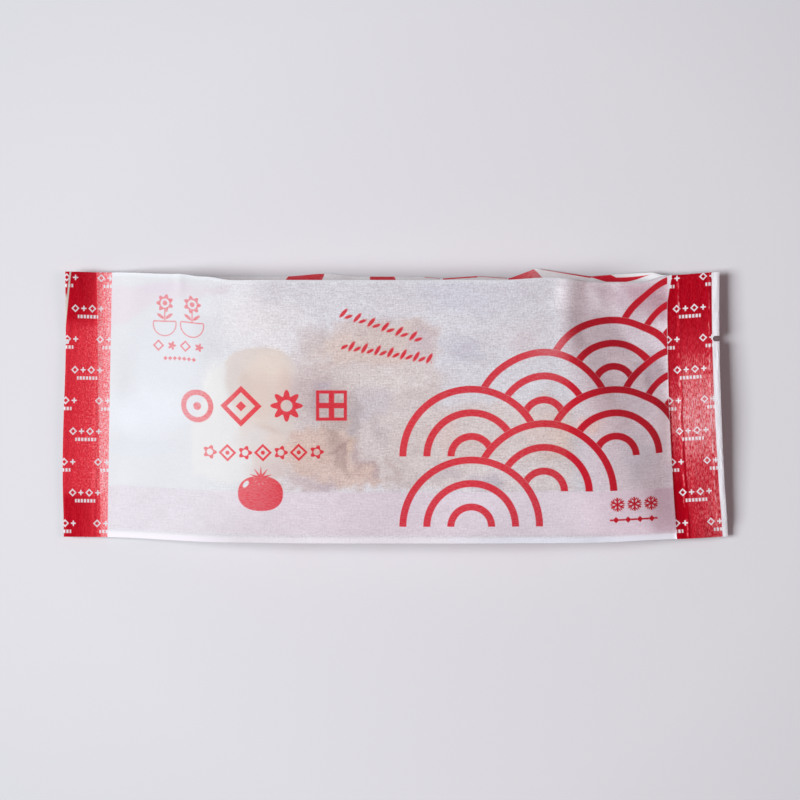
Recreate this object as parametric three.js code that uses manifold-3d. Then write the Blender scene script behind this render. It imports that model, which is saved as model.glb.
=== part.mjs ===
// A shut side-gusset film pack with one fish-shaped waffle cake lying inside it, flat on its back panel.
// The pack is one closed solid out to its film: front panel, two folded side gussets, back panel, and a flat
// heat-sealed band at each end. Millimetres, +X along the pack, +Y across it, +Z up, back panel on z = 0.
// It is lofted from cross-sections: each section runs over the front panel, down and in along one gusset to its
// inner fold, out to the back panel, under the pack, and up the other gusset.
import * as THREE from "three";
import { mergeVertices } from "three/addons/utils/BufferGeometryUtils.js";
import Module from "manifold-3d";

// ---- driving dimensions ----
const SEAL_START = { left: -108.5, right: 105.2 }; // where the film opens out from each end band
const PACK_END = { left: -126.1, right: 124.2 }; // the cut edges of the end bands, on the centre line
const SEAL_THICKNESS = 0.9; // four layers of film pressed together
const SEAL_HEIGHT = { left: 3.4, right: 5.4 }; // mid-plane of each band above the floor
const CAKE_TOP = 24.4; // the film's highest level, over the cake's belly
const HEAD_DROP = 3.4; // the film lies this much lower past the cake's head
const FRONT_CREASE_HEIGHT = { south: 18.0, north: 19.4 }; // long edges of the front panel, along the cake
const INNER_FOLD_SHARE = 0.52; // height of a gusset's inner fold, as a share of its front crease's
const GUSSET_DEPTH = 18.5; // how far the inner fold stands in from the creases
const FLAT_BASE = { x0: -62, x1: 66, y: 31 }; // the part of the back panel that lies flat on the floor
const BACK_EDGE_LIFT = 1.3; // the back panel's long edges stand off the floor by this
const LEFT_RAMP_DEG = 19; // the film's rise from the left band, over the cake's tail
// its fall to the right band: a steep face below the ridge, and in the north a gentle foot past it
const RIGHT_FACE_DEG = { middle: 28, north: 27 };
const RIGHT_FOOT_DEG = 14;
const FOOT_START = { middle: 103, north: 80 }; // where along the pack the foot begins
const TEAR_NOTCH = { depth: 2.6, height: 2.2, y: 25.5 }; // the cut in the right band's edge that starts a tear
const EDGE_NICK = { depth: 1.3, height: 1.8, y: 24.4 }; // the small cut in the left band's edge

// ---- section counts ----
const FRONT_POINTS = 31;
const BACK_POINTS = 9;
const LEG_POINTS = 3; // segments on each leg of a gusset's V
const FILM_STEP = 3.6; // spacing of the sections along the film
const SEAL_STEPS = 3; // sections along each end band

// ---- small maths ----
const clamp01 = (value) => Math.min(1, Math.max(0, value));
const mix = (from, to, share) => from + (to - from) * share;
const tanDeg = (degrees) => Math.tan(THREE.MathUtils.degToRad(degrees));
const ease = (value) => THREE.MathUtils.smoothstep(value, 0, 1);
// a bump of height 1 at its centre that dies away over about twice its width
const bump = (value, centre, width) => Math.exp(-(((value - centre) / width) ** 2));
// the lower of two heights with the corner between them rounded over `radius`
const softMin = (a, b, radius) => {
  const share = clamp01(0.5 + (0.5 * (b - a)) / radius);
  return mix(b, a, share) - radius * share * (1 - share);
};
// 0 below zero and the value itself above it, with the corner rounded over `radius` on each side
const softRise = (value, radius) => {
  if (value >= radius) return value;
  return Math.max(0, value + radius) ** 2 / (4 * radius);
};
// a smooth line through knots [x, value], level at both ends
const lineThrough = (knots) => (x) => {
  const last = knots.length - 1;
  if (x <= knots[0][0]) return knots[0][1];
  if (x >= knots[last][0]) return knots[last][1];
  const next = knots.findIndex(([knotX]) => knotX > x);
  const [x0, value0] = knots[next - 1];
  const [x1, value1] = knots[next];
  return mix(value0, value1, ease((x - x0) / (x1 - x0)));
};

// ---- the long edges, seen from above ----
// the front panel's creases pull in a little over the cake and bow to the south
const northCreaseY = lineThrough([
  [PACK_END.left, 51.0],
  [-108, 50.7],
  [-82, 49.8],
  [-72, 48.7],
  [-60, 47.2],
  [40, 47.2],
  [58, 48.1],
  [80, 46.3],
  [93, 46.3],
  [SEAL_START.right, 49.6],
  [PACK_END.right, 50.2],
]);
const southCreaseY = lineThrough([
  [PACK_END.left, -49.9],
  [-108, -50.0],
  [-62, -51.8],
  [-36, -52.2],
  [70, -52.2],
  [SEAL_START.right, -50.9],
  [PACK_END.right, -50.5],
]);
// the back panel keeps its flat width; its north edge shows past the front crease and swells in two places
const northBackY = (x) => {
  const film = 49.2 + 1.1 * bump(x, -27, 9) + 3.1 * bump(x, 55.5, 8) + 1.5 * ease((x - 72) / 14);
  return mix(film, northCreaseY(x), sealShare(x));
};
const southBackY = (x) => mix(-50.3, southCreaseY(x), sealShare(x));

// 0 along the film, 1 in the end bands, easing over the last few millimetres
const sealShare = (x) => Math.max(ease((SEAL_START.left + 7 - x) / 7), ease((x - SEAL_START.right + 7) / 7));

// ---- the end bands ----
// each band is a thin plate that waves a little; the left one curls up at its north corner
const sealMidHeight = (x, y) => {
  if (x < 0) {
    const curl = 2.2 * ease((y - 22) / 28) * ease((-112 - x) / 14);
    return SEAL_HEIGHT.left + curl + 0.45 * Math.cos(y / 15);
  }
  return SEAL_HEIGHT.right + 0.7 * Math.cos((y + 6) / 19) - 0.4 * ease((x - 112) / 12);
};

// ---- the front panel's height ----
// the film bends down to the right band from a ridge that slants from the north crease to the band's south end
const rightRise = (x, y) => {
  const northward = clamp01((y + 2) / 38);
  const foot = tanDeg(RIGHT_FOOT_DEG);
  const face = tanDeg(mix(RIGHT_FACE_DEG.middle, RIGHT_FACE_DEG.north, northward));
  const faceEnd = mix(FOOT_START.middle, FOOT_START.north, northward);
  return foot * (SEAL_START.right - x) + (face - foot) * softRise(faceEnd - x, 2.5);
};
const ridgeRounding = (y) => mix(1.8, 6, ease((30 - y) / 60));

const creaseHeight = (x, share) => {
  const south = FRONT_CREASE_HEIGHT.south - 12 * ease((x - 26) / 96);
  return mix(south, FRONT_CREASE_HEIGHT.north, share);
};

// share runs from 0 at the south crease to 1 at the north crease
const crown = (share) => 1 - Math.abs(2 * share - 1) ** 2.6;

// long soft waves, the fold at the north end of the ridge and the small pinch in the north crease
const filmRelief = (x, y) => {
  const waves = 0.35 * Math.sin(x / 13 + y / 31) * Math.cos(y / 17) + 0.25 * Math.sin(x / 7.5 - y / 12);
  const ridge = 1.2 * bump(x, 60.5, 5) * bump(y, 33, 14);
  const valley = -1.4 * bump(x, 73, 4.5) * bump(y, 46, 9);
  const pinch = 0.25 * bump(x, -81, 1.8) * ease((y - 34) / 14);
  const leftFold = 0.7 * bump(y, -4, 6) * bump(x, -100, 12);
  return waves + ridge + valley + pinch + leftFold;
};

const frontHeight = (x, y, share) => {
  const seal = sealMidHeight(x, y) + SEAL_THICKNESS / 2;
  if (x <= SEAL_START.left || x >= SEAL_START.right) return seal;
  const creases = creaseHeight(x, share);
  const top = CAKE_TOP - HEAD_DROP * ease((x - 45) / 50);
  const overCake = creases + (top - creases) * crown(share);
  const fromLeft = seal + tanDeg(LEFT_RAMP_DEG) * (x - SEAL_START.left);
  const fromRight = seal + rightRise(x, y);
  const lifted = softMin(softMin(overCake, fromLeft, 9), fromRight, ridgeRounding(y));
  return lifted + filmRelief(x, y) * (1 - sealShare(x)) * ease((x - SEAL_START.left) / 12);
};

// ---- the back panel's height ----
const backHeight = (x, y) => {
  const seal = sealMidHeight(x, y) - SEAL_THICKNESS / 2;
  const towardsLeft = clamp01((FLAT_BASE.x0 - x) / (FLAT_BASE.x0 - SEAL_START.left)) ** 2;
  const towardsRight = clamp01((x - FLAT_BASE.x1) / (SEAL_START.right - FLAT_BASE.x1)) ** 2;
  const toSeal = Math.max(towardsLeft, towardsRight);
  const edge = BACK_EDGE_LIFT * clamp01((Math.abs(y) - FLAT_BASE.y) / (50 - FLAT_BASE.y)) ** 2;
  return mix(edge, seal, toSeal);
};

// ---- sections ----
// each section is a straight line across the pack, leaned and bowed to follow the skewed end bands
const lean = (x) => {
  const left = THREE.MathUtils.degToRad(-1) * ease((-70 - x) / 38) * ease((x - PACK_END.left) / 14);
  const right = THREE.MathUtils.degToRad(2) * ease((x - 50) / 55);
  return left + right;
};
const bow = (x, y) => {
  const leftEdge = 1.2 * ease((y + 24) / 50) + 0.35 * ease((-28 - y) / 20);
  return 1.3 * ease((x - 50) / 55) * (y / 50) ** 2 + leftEdge * ease((-112 - x) / 14);
};

const place = (x, y, z) => {
  const angle = lean(x);
  const past = Math.max(0, x - SEAL_START.right); // the right band runs on in its own, turned direction
  return new THREE.Vector3(x - y * Math.sin(angle) + bow(x, y), y * Math.cos(angle) + past * Math.sin(angle), z);
};

// a leg of a gusset's V, both ends left out
const leg = (x, from, to) =>
  Array.from({ length: LEG_POINTS - 1 }, (_, step) => {
    const share = (step + 1) / LEG_POINTS;
    return place(x, mix(from.y, to.y, share), mix(from.z, to.z, share));
  });

const innerFold = (front, back) => {
  const gap = front.z - back.z;
  const open = ease((gap - SEAL_THICKNESS) / 9); // the V closes as the panels come together
  const inward = Math.sign(front.y) * mix(0.5, GUSSET_DEPTH, open);
  return { y: mix(front.y, back.y, 0.5) - inward, z: back.z + gap * INNER_FOLD_SHARE };
};

const section = (x) => {
  const front = Array.from({ length: FRONT_POINTS }, (_, step) => {
    const share = step / (FRONT_POINTS - 1);
    const y = mix(southCreaseY(x), northCreaseY(x), share);
    return { y, z: frontHeight(x, y, share) };
  });
  const back = Array.from({ length: BACK_POINTS }, (_, step) => {
    const y = mix(northBackY(x), southBackY(x), step / (BACK_POINTS - 1));
    return { y, z: backHeight(x, y) };
  });
  const [south, north] = [front[0], front[FRONT_POINTS - 1]];
  const [northBack, southBack] = [back[0], back[BACK_POINTS - 1]];
  const northFold = innerFold(north, northBack);
  const southFold = innerFold(south, southBack);
  return [
    ...front.map(({ y, z }) => place(x, y, z)),
    ...leg(x, north, northFold),
    place(x, northFold.y, northFold.z),
    ...leg(x, northFold, northBack),
    ...back.map(({ y, z }) => place(x, y, z)),
    ...leg(x, southBack, southFold),
    place(x, southFold.y, southFold.z),
    ...leg(x, southFold, south),
  ];
};

// ---- the loft ----
const evenly = (from, to, count) => Array.from({ length: count }, (_, step) => mix(from, to, step / count));

const stations = [
  ...evenly(PACK_END.left, SEAL_START.left, SEAL_STEPS),
  ...evenly(SEAL_START.left, SEAL_START.right, Math.round((SEAL_START.right - SEAL_START.left) / FILM_STEP)),
  ...evenly(SEAL_START.right, PACK_END.right, SEAL_STEPS),
  PACK_END.right,
];

const loft = (rings) => {
  const count = rings[0].length;
  const points = rings.flat();
  const triangles = [];
  for (let ring = 0; ring + 1 < rings.length; ring += 1) {
    for (let point = 0; point < count; point += 1) {
      const here = ring * count + point;
      const beside = ring * count + ((point + 1) % count);
      const [ahead, across] = [here + count, beside + count];
      // on the front panel each patch is split along its higher diagonal, so that the film bulges outwards
      const onFront = point + 1 < FRONT_POINTS;
      if (onFront && points[ahead].z + points[beside].z > points[here].z + points[across].z) {
        triangles.push(here, ahead, beside, beside, ahead, across);
      } else {
        triangles.push(here, ahead, across, here, across, beside);
      }
    }
  }
  const capEnd = (ring, flip) => {
    const outline = rings[ring].map(({ y, z }) => new THREE.Vector2(y, z));
    for (const [a, b, c] of THREE.ShapeUtils.triangulateShape(outline, [])) {
      const corners = flip ? [a, c, b] : [a, b, c];
      triangles.push(...corners.map((corner) => ring * count + corner));
    }
  };
  // a section runs south to north over the top, which is clockwise seen from +X
  capEnd(0, true);
  capEnd(rings.length - 1, false);
  const geometry = new THREE.BufferGeometry();
  const positions = points.flatMap(({ x, y, z }) => [x, y, z]);
  geometry.setAttribute("position", new THREE.Float32BufferAttribute(positions, 3));
  geometry.setIndex(triangles);
  return geometry;
};

// ---- cuts in the end bands ----
// a three-sided prism, its point inwards, standing upright through the band
const notchPrism = ({ depth, height, y }, edgeX, inwards) => {
  const outline = new THREE.Shape();
  outline.moveTo(-3 * inwards, -height);
  outline.lineTo(depth * inwards, 0);
  outline.lineTo(-3 * inwards, height);
  outline.closePath();
  const prism = new THREE.ExtrudeGeometry(outline, { depth: 16, bevelEnabled: false });
  prism.translate(edgeX, y, -3);
  return prism;
};

const wasm = await Module();
wasm.setup();

const toManifold = (geometry) => {
  const bare = geometry.clone();
  bare.deleteAttribute("normal");
  bare.deleteAttribute("uv");
  const merged = mergeVertices(bare);
  return new wasm.Manifold(
    new wasm.Mesh({
      numProp: 3,
      vertProperties: Float32Array.from(merged.attributes.position.array),
      triVerts: Uint32Array.from(merged.index.array),
    }),
  );
};

const toGeometry = (solid) => {
  const { vertProperties, triVerts } = solid.getMesh();
  const geometry = new THREE.BufferGeometry();
  geometry.setAttribute("position", new THREE.Float32BufferAttribute(vertProperties, 3));
  geometry.setIndex(Array.from(triVerts));
  return geometry;
};

const edgeAt = (end, y) => place(end, y, 0).x;
const tearNotch = notchPrism(TEAR_NOTCH, edgeAt(PACK_END.right, TEAR_NOTCH.y), -1);
const edgeNick = notchPrism(EDGE_NICK, edgeAt(PACK_END.left, EDGE_NICK.y), 1);
const packSolid = toManifold(loft(stations.map(section)))
  .subtract(toManifold(tearNotch))
  .subtract(toManifold(edgeNick));

// centred on the origin in X and Y, standing on z = 0
const packGeometry = toGeometry(packSolid);
packGeometry.computeBoundingBox();
const { min, max } = packGeometry.boundingBox;
packGeometry.translate(-(min.x + max.x) / 2, -(min.y + max.y) / 2, -min.z);
packGeometry.computeVertexNormals();

const film = new THREE.MeshStandardMaterial({ color: 0xf1eff4, roughness: 0.62, metalness: 0 });
const pack = new THREE.Mesh(packGeometry, film);
pack.name = "taiyaki_pack";

const part = new THREE.Group();
part.add(pack);

export default part;
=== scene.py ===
"""A shut side-gusset film pack with a fish-shaped waffle cake inside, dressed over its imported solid.

The film is one printed sheet folded into a tube and sealed flat across both ends. It takes the place of
the pack's solid, and the cake lies inside it. Lengths are millimetres until a mesh is written, in metres.
"""

import logging
import math
from dataclasses import dataclass, field
from enum import IntEnum
from typing import Callable, Sequence

import bpy
import numpy as np
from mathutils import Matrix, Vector

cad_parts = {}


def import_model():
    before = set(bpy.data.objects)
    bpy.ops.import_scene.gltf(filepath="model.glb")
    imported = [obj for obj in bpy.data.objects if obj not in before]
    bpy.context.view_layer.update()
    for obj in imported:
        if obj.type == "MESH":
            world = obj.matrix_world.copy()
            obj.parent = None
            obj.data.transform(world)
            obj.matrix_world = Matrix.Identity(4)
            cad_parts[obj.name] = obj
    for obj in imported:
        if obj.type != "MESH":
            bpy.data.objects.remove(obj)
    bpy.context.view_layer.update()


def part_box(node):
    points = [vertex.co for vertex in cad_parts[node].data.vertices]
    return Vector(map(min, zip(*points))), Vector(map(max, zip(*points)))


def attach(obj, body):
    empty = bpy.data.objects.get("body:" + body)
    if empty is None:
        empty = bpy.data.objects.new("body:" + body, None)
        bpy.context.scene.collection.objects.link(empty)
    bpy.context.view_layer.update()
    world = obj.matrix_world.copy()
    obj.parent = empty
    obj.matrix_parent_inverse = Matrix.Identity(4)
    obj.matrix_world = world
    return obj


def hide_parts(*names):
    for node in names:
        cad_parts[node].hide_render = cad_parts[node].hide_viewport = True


log = logging.getLogger("pack")

MM = 0.001
UV_SCALE = 0.01  # film coordinates in millimetres, times this, are its UVs
NODE = "taiyaki_pack"
BODY = "root"
FLAT_MAP = "flat"
# the film's tone from what shows through it, with painted light and shade
SHOW_THROUGH_AND_LIGHT = "show_through"
MOTTLE = "mottle"
# how far ink is paled, by fewer layers of print and by painted sheen and glare
WASH = "wash"
CRUST_TONE = "crust_tone"

Knots = Sequence[tuple[float, float]]
Colour = tuple[float, float, float]


# ---------------------------------------------------------------- small maths on arrays


def ease(value: np.ndarray | float) -> np.ndarray:
    """A smooth step from 0 at 0 to 1 at 1."""
    share = np.clip(value, 0.0, 1.0)
    return share * share * (3.0 - 2.0 * share)


def mix(start: np.ndarray | float, end: np.ndarray | float, share: np.ndarray | float) -> np.ndarray:
    """The value that lies share of the way from start to end."""
    return start + (end - start) * share


def bump(value: np.ndarray | float, centre: float, width: float) -> np.ndarray:
    """A bump of height 1 at its centre that dies away over about twice its width."""
    return np.exp(-(((value - centre) / width) ** 2))


def soft_min(first: np.ndarray, second: np.ndarray, radius: np.ndarray | float) -> np.ndarray:
    """The lower of two heights, with the corner between them rounded over radius."""
    share = np.clip(0.5 + 0.5 * (second - first) / radius, 0.0, 1.0)
    return mix(second, first, share) - radius * share * (1.0 - share)


def soft_rise(value: np.ndarray, radius: float) -> np.ndarray:
    """0 below zero and the value itself above it, with the corner rounded over radius on each side."""
    rounded = np.maximum(0.0, value + radius) ** 2 / (4.0 * radius)
    return np.where(value >= radius, value, rounded)


def span_at(knots: Knots, x: np.ndarray) -> tuple[np.ndarray, np.ndarray, np.ndarray, np.ndarray]:
    """Finds the two knots on each side of a place.

    Args:
        knots: Pairs of (x, value), in rising order of x.
        x: Places.

    Returns:
        The knots' x, their values, the index of the knot past each place, and the share of the way to it.
    """
    places = np.array([knot[0] for knot in knots])
    values = np.array([knot[1] for knot in knots])
    upper = np.clip(np.searchsorted(places, x, side="right"), 1, len(places) - 1)
    share = np.clip((x - places[upper - 1]) / (places[upper] - places[upper - 1]), 0.0, 1.0)
    return places, values, upper, share


def line_through(knots: Knots, x: np.ndarray) -> np.ndarray:
    """A smooth line through knots (x, value), level at each knot."""
    _, values, upper, share = span_at(knots, x)
    return mix(values[upper - 1], values[upper], ease(share))


def curve_through(knots: Knots, x: np.ndarray) -> np.ndarray:
    """A flowing curve through knots, with each knot's slope taken from its neighbours.

    Args:
        knots: Pairs of (x, value), in rising order of x.
        x: Places.

    Returns:
        The curve's values.
    """
    places, values, upper, share = span_at(knots, x)
    slopes = np.gradient(values, places)
    span = places[upper] - places[upper - 1]
    leave = share * (1.0 - share) ** 2 * span
    arrive = share * share * (share - 1.0) * span
    level = mix(values[upper - 1], values[upper], ease(share))
    return level + leave * slopes[upper - 1] + arrive * slopes[upper]


def ripples(
    x: np.ndarray, y: np.ndarray, seed: int, waves: int, shortest: float, longest: float
) -> np.ndarray:
    """Seeded soft unevenness between about -1 and 1.

    Args:
        x, y: Places in millimetres.
        seed: Picks the pattern.
        waves: How many plane waves are added up.
        shortest, longest: The range of their wavelengths in millimetres.

    Returns:
        The sum of the waves, scaled by the root of their number.
    """
    draw = np.random.default_rng(seed)
    total = np.zeros(np.broadcast(x, y).shape)
    for _ in range(waves):
        angle, phase = draw.uniform(0.0, 2.0 * math.pi, 2)
        pitch = 2.0 * math.pi / draw.uniform(shortest, longest)
        total += np.sin(pitch * (x * math.cos(angle) + y * math.sin(angle)) + phase)
    return total / math.sqrt(waves)


# ---------------------------------------------------------------- the film's form


@dataclass
class FilmForm:
    """The folded film's shape, as heights and edges in millimetres, before it is centred on the origin."""

    seal_start: tuple[float, float] = (-108.5, 105.2)
    pack_end: tuple[float, float] = (-126.1, 124.2)
    seal_height: tuple[float, float] = (3.4, 5.4)
    seal_thickness: float = 0.9
    cake_top: float = 24.4
    head_drop: float = 3.4  # the film lies this much lower past the cake's head
    crease_height: tuple[float, float] = (18.0, 19.4)  # south, north
    inner_fold_share: float = 0.52
    gusset_depth: float = 18.5
    flat_base: tuple[float, float, float] = (-62.0, 66.0, 31.0)  # x from, x to, half width
    back_edge_lift: float = 1.3
    crown_power: float = 2.6  # how boxy a section over the cake is
    crease_drop: float = 12.0  # how far the south crease sinks towards the right band
    left_ramp_deg: float = 19.0
    left_rounding: float = 9.0  # of the edge between the ramp and the part over the cake
    right_rounding: tuple[float, float] = (1.8, 6.0)  # the same at the right, north and south
    right_face_deg: tuple[float, float] = (28.0, 27.0)  # middle, north
    right_foot_deg: float = 15.5
    foot_start: tuple[float, float] = (105.5, 81.0)  # middle, north
    foot_rounding: float = 2.5
    lean_deg: tuple[float, float] = (1.0, 2.0)  # of the left band and the right one, opposite ways
    bow: float = 1.3  # of the right band's ends
    seal_arch: tuple[float, float] = (0.45, 0.7)  # how far each band's middle arches up
    band_reach: float = 7.0  # over which the film's edges pass into a band's
    curl: float = 2.2  # how far the left band's north corner curls up
    droop: tuple[float, float] = (1.1, 1.3)  # of the right band's cut edge: its south half, and the corner
    back_edge: tuple[float, float] = (-50.3, 49.2)  # the back panel's, south and north
    south_edge: Knots = (
        (-126.1, -49.9), (-108.0, -50.0), (-62.0, -51.4), (-36.0, -51.7), (70.0, -51.75), (105.2, -50.7),
        (124.2, -50.5),
    )
    north_edge: Knots = (
        (-126.1, 51.0), (-108.0, 50.7), (-82.0, 49.8), (-72.0, 48.7), (-60.0, 47.2), (40.0, 47.2),
        (58.0, 48.1), (80.0, 46.8), (93.0, 46.9), (105.2, 49.6), (124.2, 50.2),
    )
    north_swell: Knots = (
        (0.0, 0.0), (12.0, -0.15), (18.7, -0.65), (31.6, 0.3), (43.1, -0.5), (44.6, -0.5), (53.6, 2.95),
        (54.6, 3.0), (63.3, 1.75), (74.7, 0.1), (82.9, 0.75), (93.8, 1.3), (103.7, 1.7),
    )

    def north_crease(self, x: np.ndarray) -> np.ndarray:
        """Y of the front panel's north edge."""
        return line_through(self.north_edge, x)

    def south_crease(self, x: np.ndarray) -> np.ndarray:
        """Y of the front panel's south edge."""
        return line_through(self.south_edge, x)

    def seal_share(self, x: np.ndarray) -> np.ndarray:
        """0 along the film and 1 in the end bands."""
        left = ease((self.seal_start[0] + self.band_reach - x) / self.band_reach)
        right = ease((x - self.seal_start[1] + self.band_reach) / self.band_reach)
        return np.maximum(left, right)

    def north_back(self, x: np.ndarray) -> np.ndarray:
        """Y of the back panel's north edge, which swells past the front crease and shows there."""
        swell = 1.1 * bump(x, -27, 9) + np.interp(x, *zip(*self.north_swell))
        return mix(self.back_edge[1] + swell, self.north_crease(x), self.seal_share(x))

    def south_back(self, x: np.ndarray) -> np.ndarray:
        """Y of the back panel's south edge."""
        return mix(self.back_edge[0], self.south_crease(x), self.seal_share(x))

    def seal_middle(self, x: np.ndarray, y: np.ndarray) -> np.ndarray:
        """Height of an end band's middle layer: the left one curls up at a corner, the right one droops.

        Args:
            x, y: The place along and across the pack.

        Returns:
            Heights above the floor.
        """
        curl = self.curl * ease((y - 22) / 28) * ease((-112 - x) / 14)
        left = self.seal_height[0] + curl + self.seal_arch[0] * np.cos(y / 15)
        droop = self.droop[0] * ease((2 - y) / 42) + self.droop[1] * ease((-42 - y) / 8)
        arched = self.seal_height[1] + self.seal_arch[1] * np.cos((y + 6) / 19)
        return np.where(x < 0, left, arched - droop * ease((x - 110) / 14))

    def relief(self, x: np.ndarray, y: np.ndarray) -> np.ndarray:
        """Long soft waves, the fold at the ridge's north end and the pinch in the north crease.

        Args:
            x, y: The place along and across the pack.

        Returns:
            Heights to add to the front panel's.
        """
        waves = 0.35 * np.sin(x / 13 + y / 31) * np.cos(y / 17) + 0.25 * np.sin(x / 7.5 - y / 12)
        ridge = 0.5 * bump(x, 64.5, 5) * bump(y, 33, 14)
        valley = -0.6 * bump(x, 73.0, 4.0) * bump(y, 44, 7)
        pinch = 0.25 * bump(x, -81, 1.8) * ease((y - 34) / 14)
        left_fold = 0.7 * bump(y, -4, 6) * bump(x, -100, 12)
        return waves + ridge + valley + pinch + left_fold

    def right_rise(self, x: np.ndarray, y: np.ndarray) -> np.ndarray:
        """How far the film stands above the right band: a steep face, and past it a gentle foot.

        Args:
            x, y: The place along and across the pack.

        Returns:
            Heights above the band.
        """
        northward = np.clip((y + 2) / 38, 0, 1)
        foot = math.tan(math.radians(self.right_foot_deg))
        face = np.tan(np.radians(mix(self.right_face_deg[0], self.right_face_deg[1], northward)))
        face_end = mix(self.foot_start[0], self.foot_start[1], northward)
        return foot * (self.seal_start[1] - x) + (face - foot) * soft_rise(face_end - x, self.foot_rounding)

    def front_height(self, x: np.ndarray, y: np.ndarray, share: np.ndarray) -> np.ndarray:
        """Height of the front panel.

        Args:
            x, y: The place along and across the pack.
            share: 0 at the south crease and 1 at the north crease.

        Returns:
            Heights above the floor.
        """
        seal = self.seal_middle(x, y) + self.seal_thickness / 2
        south = self.crease_height[0] - self.crease_drop * ease((x - 26) / 96)
        creases = mix(south, self.crease_height[1], share)
        crown = 1 - np.abs(2 * share - 1) ** self.crown_power
        top = self.cake_top - self.head_drop * ease((x - 45) / 50)
        over_cake = creases + (top - creases) * crown
        from_left = seal + math.tan(math.radians(self.left_ramp_deg)) * (x - self.seal_start[0])
        from_right = seal + self.right_rise(x, y)
        rounding = mix(*self.right_rounding, ease((30 - y) / 60))
        lifted = soft_min(soft_min(over_cake, from_left, self.left_rounding), from_right, rounding)
        relief = self.relief(x, y) * (1 - self.seal_share(x)) * ease((x - self.seal_start[0]) / 12)
        in_seal = (x <= self.seal_start[0]) | (x >= self.seal_start[1])
        return np.where(in_seal, seal, lifted + relief)

    def back_height(self, x: np.ndarray, y: np.ndarray) -> np.ndarray:
        """Height of the back panel: flat on the floor under the cake, rising to the end bands.

        Args:
            x, y: The place along and across the pack.

        Returns:
            Heights above the floor.
        """
        seal = self.seal_middle(x, y) - self.seal_thickness / 2
        x_from, x_to, half = self.flat_base
        left = np.clip((x_from - x) / (x_from - self.seal_start[0]), 0, 1) ** 2
        right = np.clip((x - x_to) / (self.seal_start[1] - x_to), 0, 1) ** 2
        edge = self.back_edge_lift * np.clip((np.abs(y) - half) / (50 - half), 0, 1) ** 2
        return mix(edge, seal, np.maximum(left, right))

    def place(self, x: np.ndarray, y: np.ndarray) -> tuple[np.ndarray, np.ndarray]:
        """Leans and bows a straight section so that it follows the skewed end bands.

        Args:
            x: The section's station along the pack.
            y: The place across it.

        Returns:
            The true X and Y.
        """
        left = -math.radians(self.lean_deg[0]) * ease((-70 - x) / 38) * ease((x - self.pack_end[0]) / 14)
        angle = left + math.radians(self.lean_deg[1]) * ease((x - 50) / 55)
        left_edge = 1.2 * ease((y + 24) / 50) + 0.35 * ease((-28 - y) / 20)
        bow = self.bow * ease((x - 50) / 55) * (y / 50) ** 2 + left_edge * ease((-112 - x) / 14)
        past = np.maximum(0, x - self.seal_start[1])
        return x - y * np.sin(angle) + bow, y * np.cos(angle) + past * np.sin(angle)


# ---------------------------------------------------------------- shader expressions


class Field:
    """A socket whose value varies over a surface, with Python's operators."""

    def __init__(self, sheet: "Sheet", socket: bpy.types.NodeSocket) -> None:
        """Wraps one output socket of a sheet."""
        self.sheet = sheet
        self.socket = socket

    def _math(self, operation: str, *values: "Field | float") -> "Field":
        """Adds one Math node."""
        inputs = dict(enumerate(values))
        return self.sheet.node("ShaderNodeMath", {"operation": operation}, inputs)

    def __add__(self, other: "Field | float") -> "Field":
        """Sum."""
        return self._math("ADD", self, other)

    def __sub__(self, other: "Field | float") -> "Field":
        """Difference."""
        return self._math("SUBTRACT", self, other)

    def __rsub__(self, other: float) -> "Field":
        """Difference, with a number first."""
        return self._math("SUBTRACT", other, self)

    def __mul__(self, other: "Field | float") -> "Field":
        """Product."""
        return self._math("MULTIPLY", self, other)

    def __truediv__(self, other: "Field | float") -> "Field":
        """Quotient."""
        return self._math("DIVIDE", self, other)

    def __pow__(self, other: float) -> "Field":
        """Power."""
        return self._math("POWER", self, other)

    def __abs__(self) -> "Field":
        """Size without sign."""
        return self._math("ABSOLUTE", self)

    def least(self, other: "Field | float") -> "Field":
        """The lower of two values."""
        return self._math("MINIMUM", self, other)

    def most(self, other: "Field | float") -> "Field":
        """The higher of two values."""
        return self._math("MAXIMUM", self, other)

    def floor(self) -> "Field":
        """The whole number below."""
        return self._math("FLOOR", self)

    def fold(self, pitch: float) -> "Field":
        """The distance from the nearest whole multiple of pitch, signed, from -pitch/2 to pitch/2."""
        return self._math("WRAP", self, pitch / 2, -pitch / 2)

    def arctan2(self, other: "Field") -> "Field":
        """The angle whose tangent is this value over the other."""
        return self._math("ARCTAN2", self, other)

    def cosine(self) -> "Field":
        """Cosine."""
        return self._math("COSINE", self)

    def sine(self) -> "Field":
        """Sine."""
        return self._math("SINE", self)

    def above(self, limit: "Field | float") -> "Field":
        """1 where the value is above the limit, and 0 elsewhere."""
        return self._math("GREATER_THAN", self, limit)

    def ramp(self, start: float, end: float) -> "Field":
        """0 at start, 1 at end, straight between and level outside."""
        return self.sheet.node(
            "ShaderNodeMapRange", {"clamp": True}, {"Value": self, "From Min": start, "From Max": end}
        )


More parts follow.
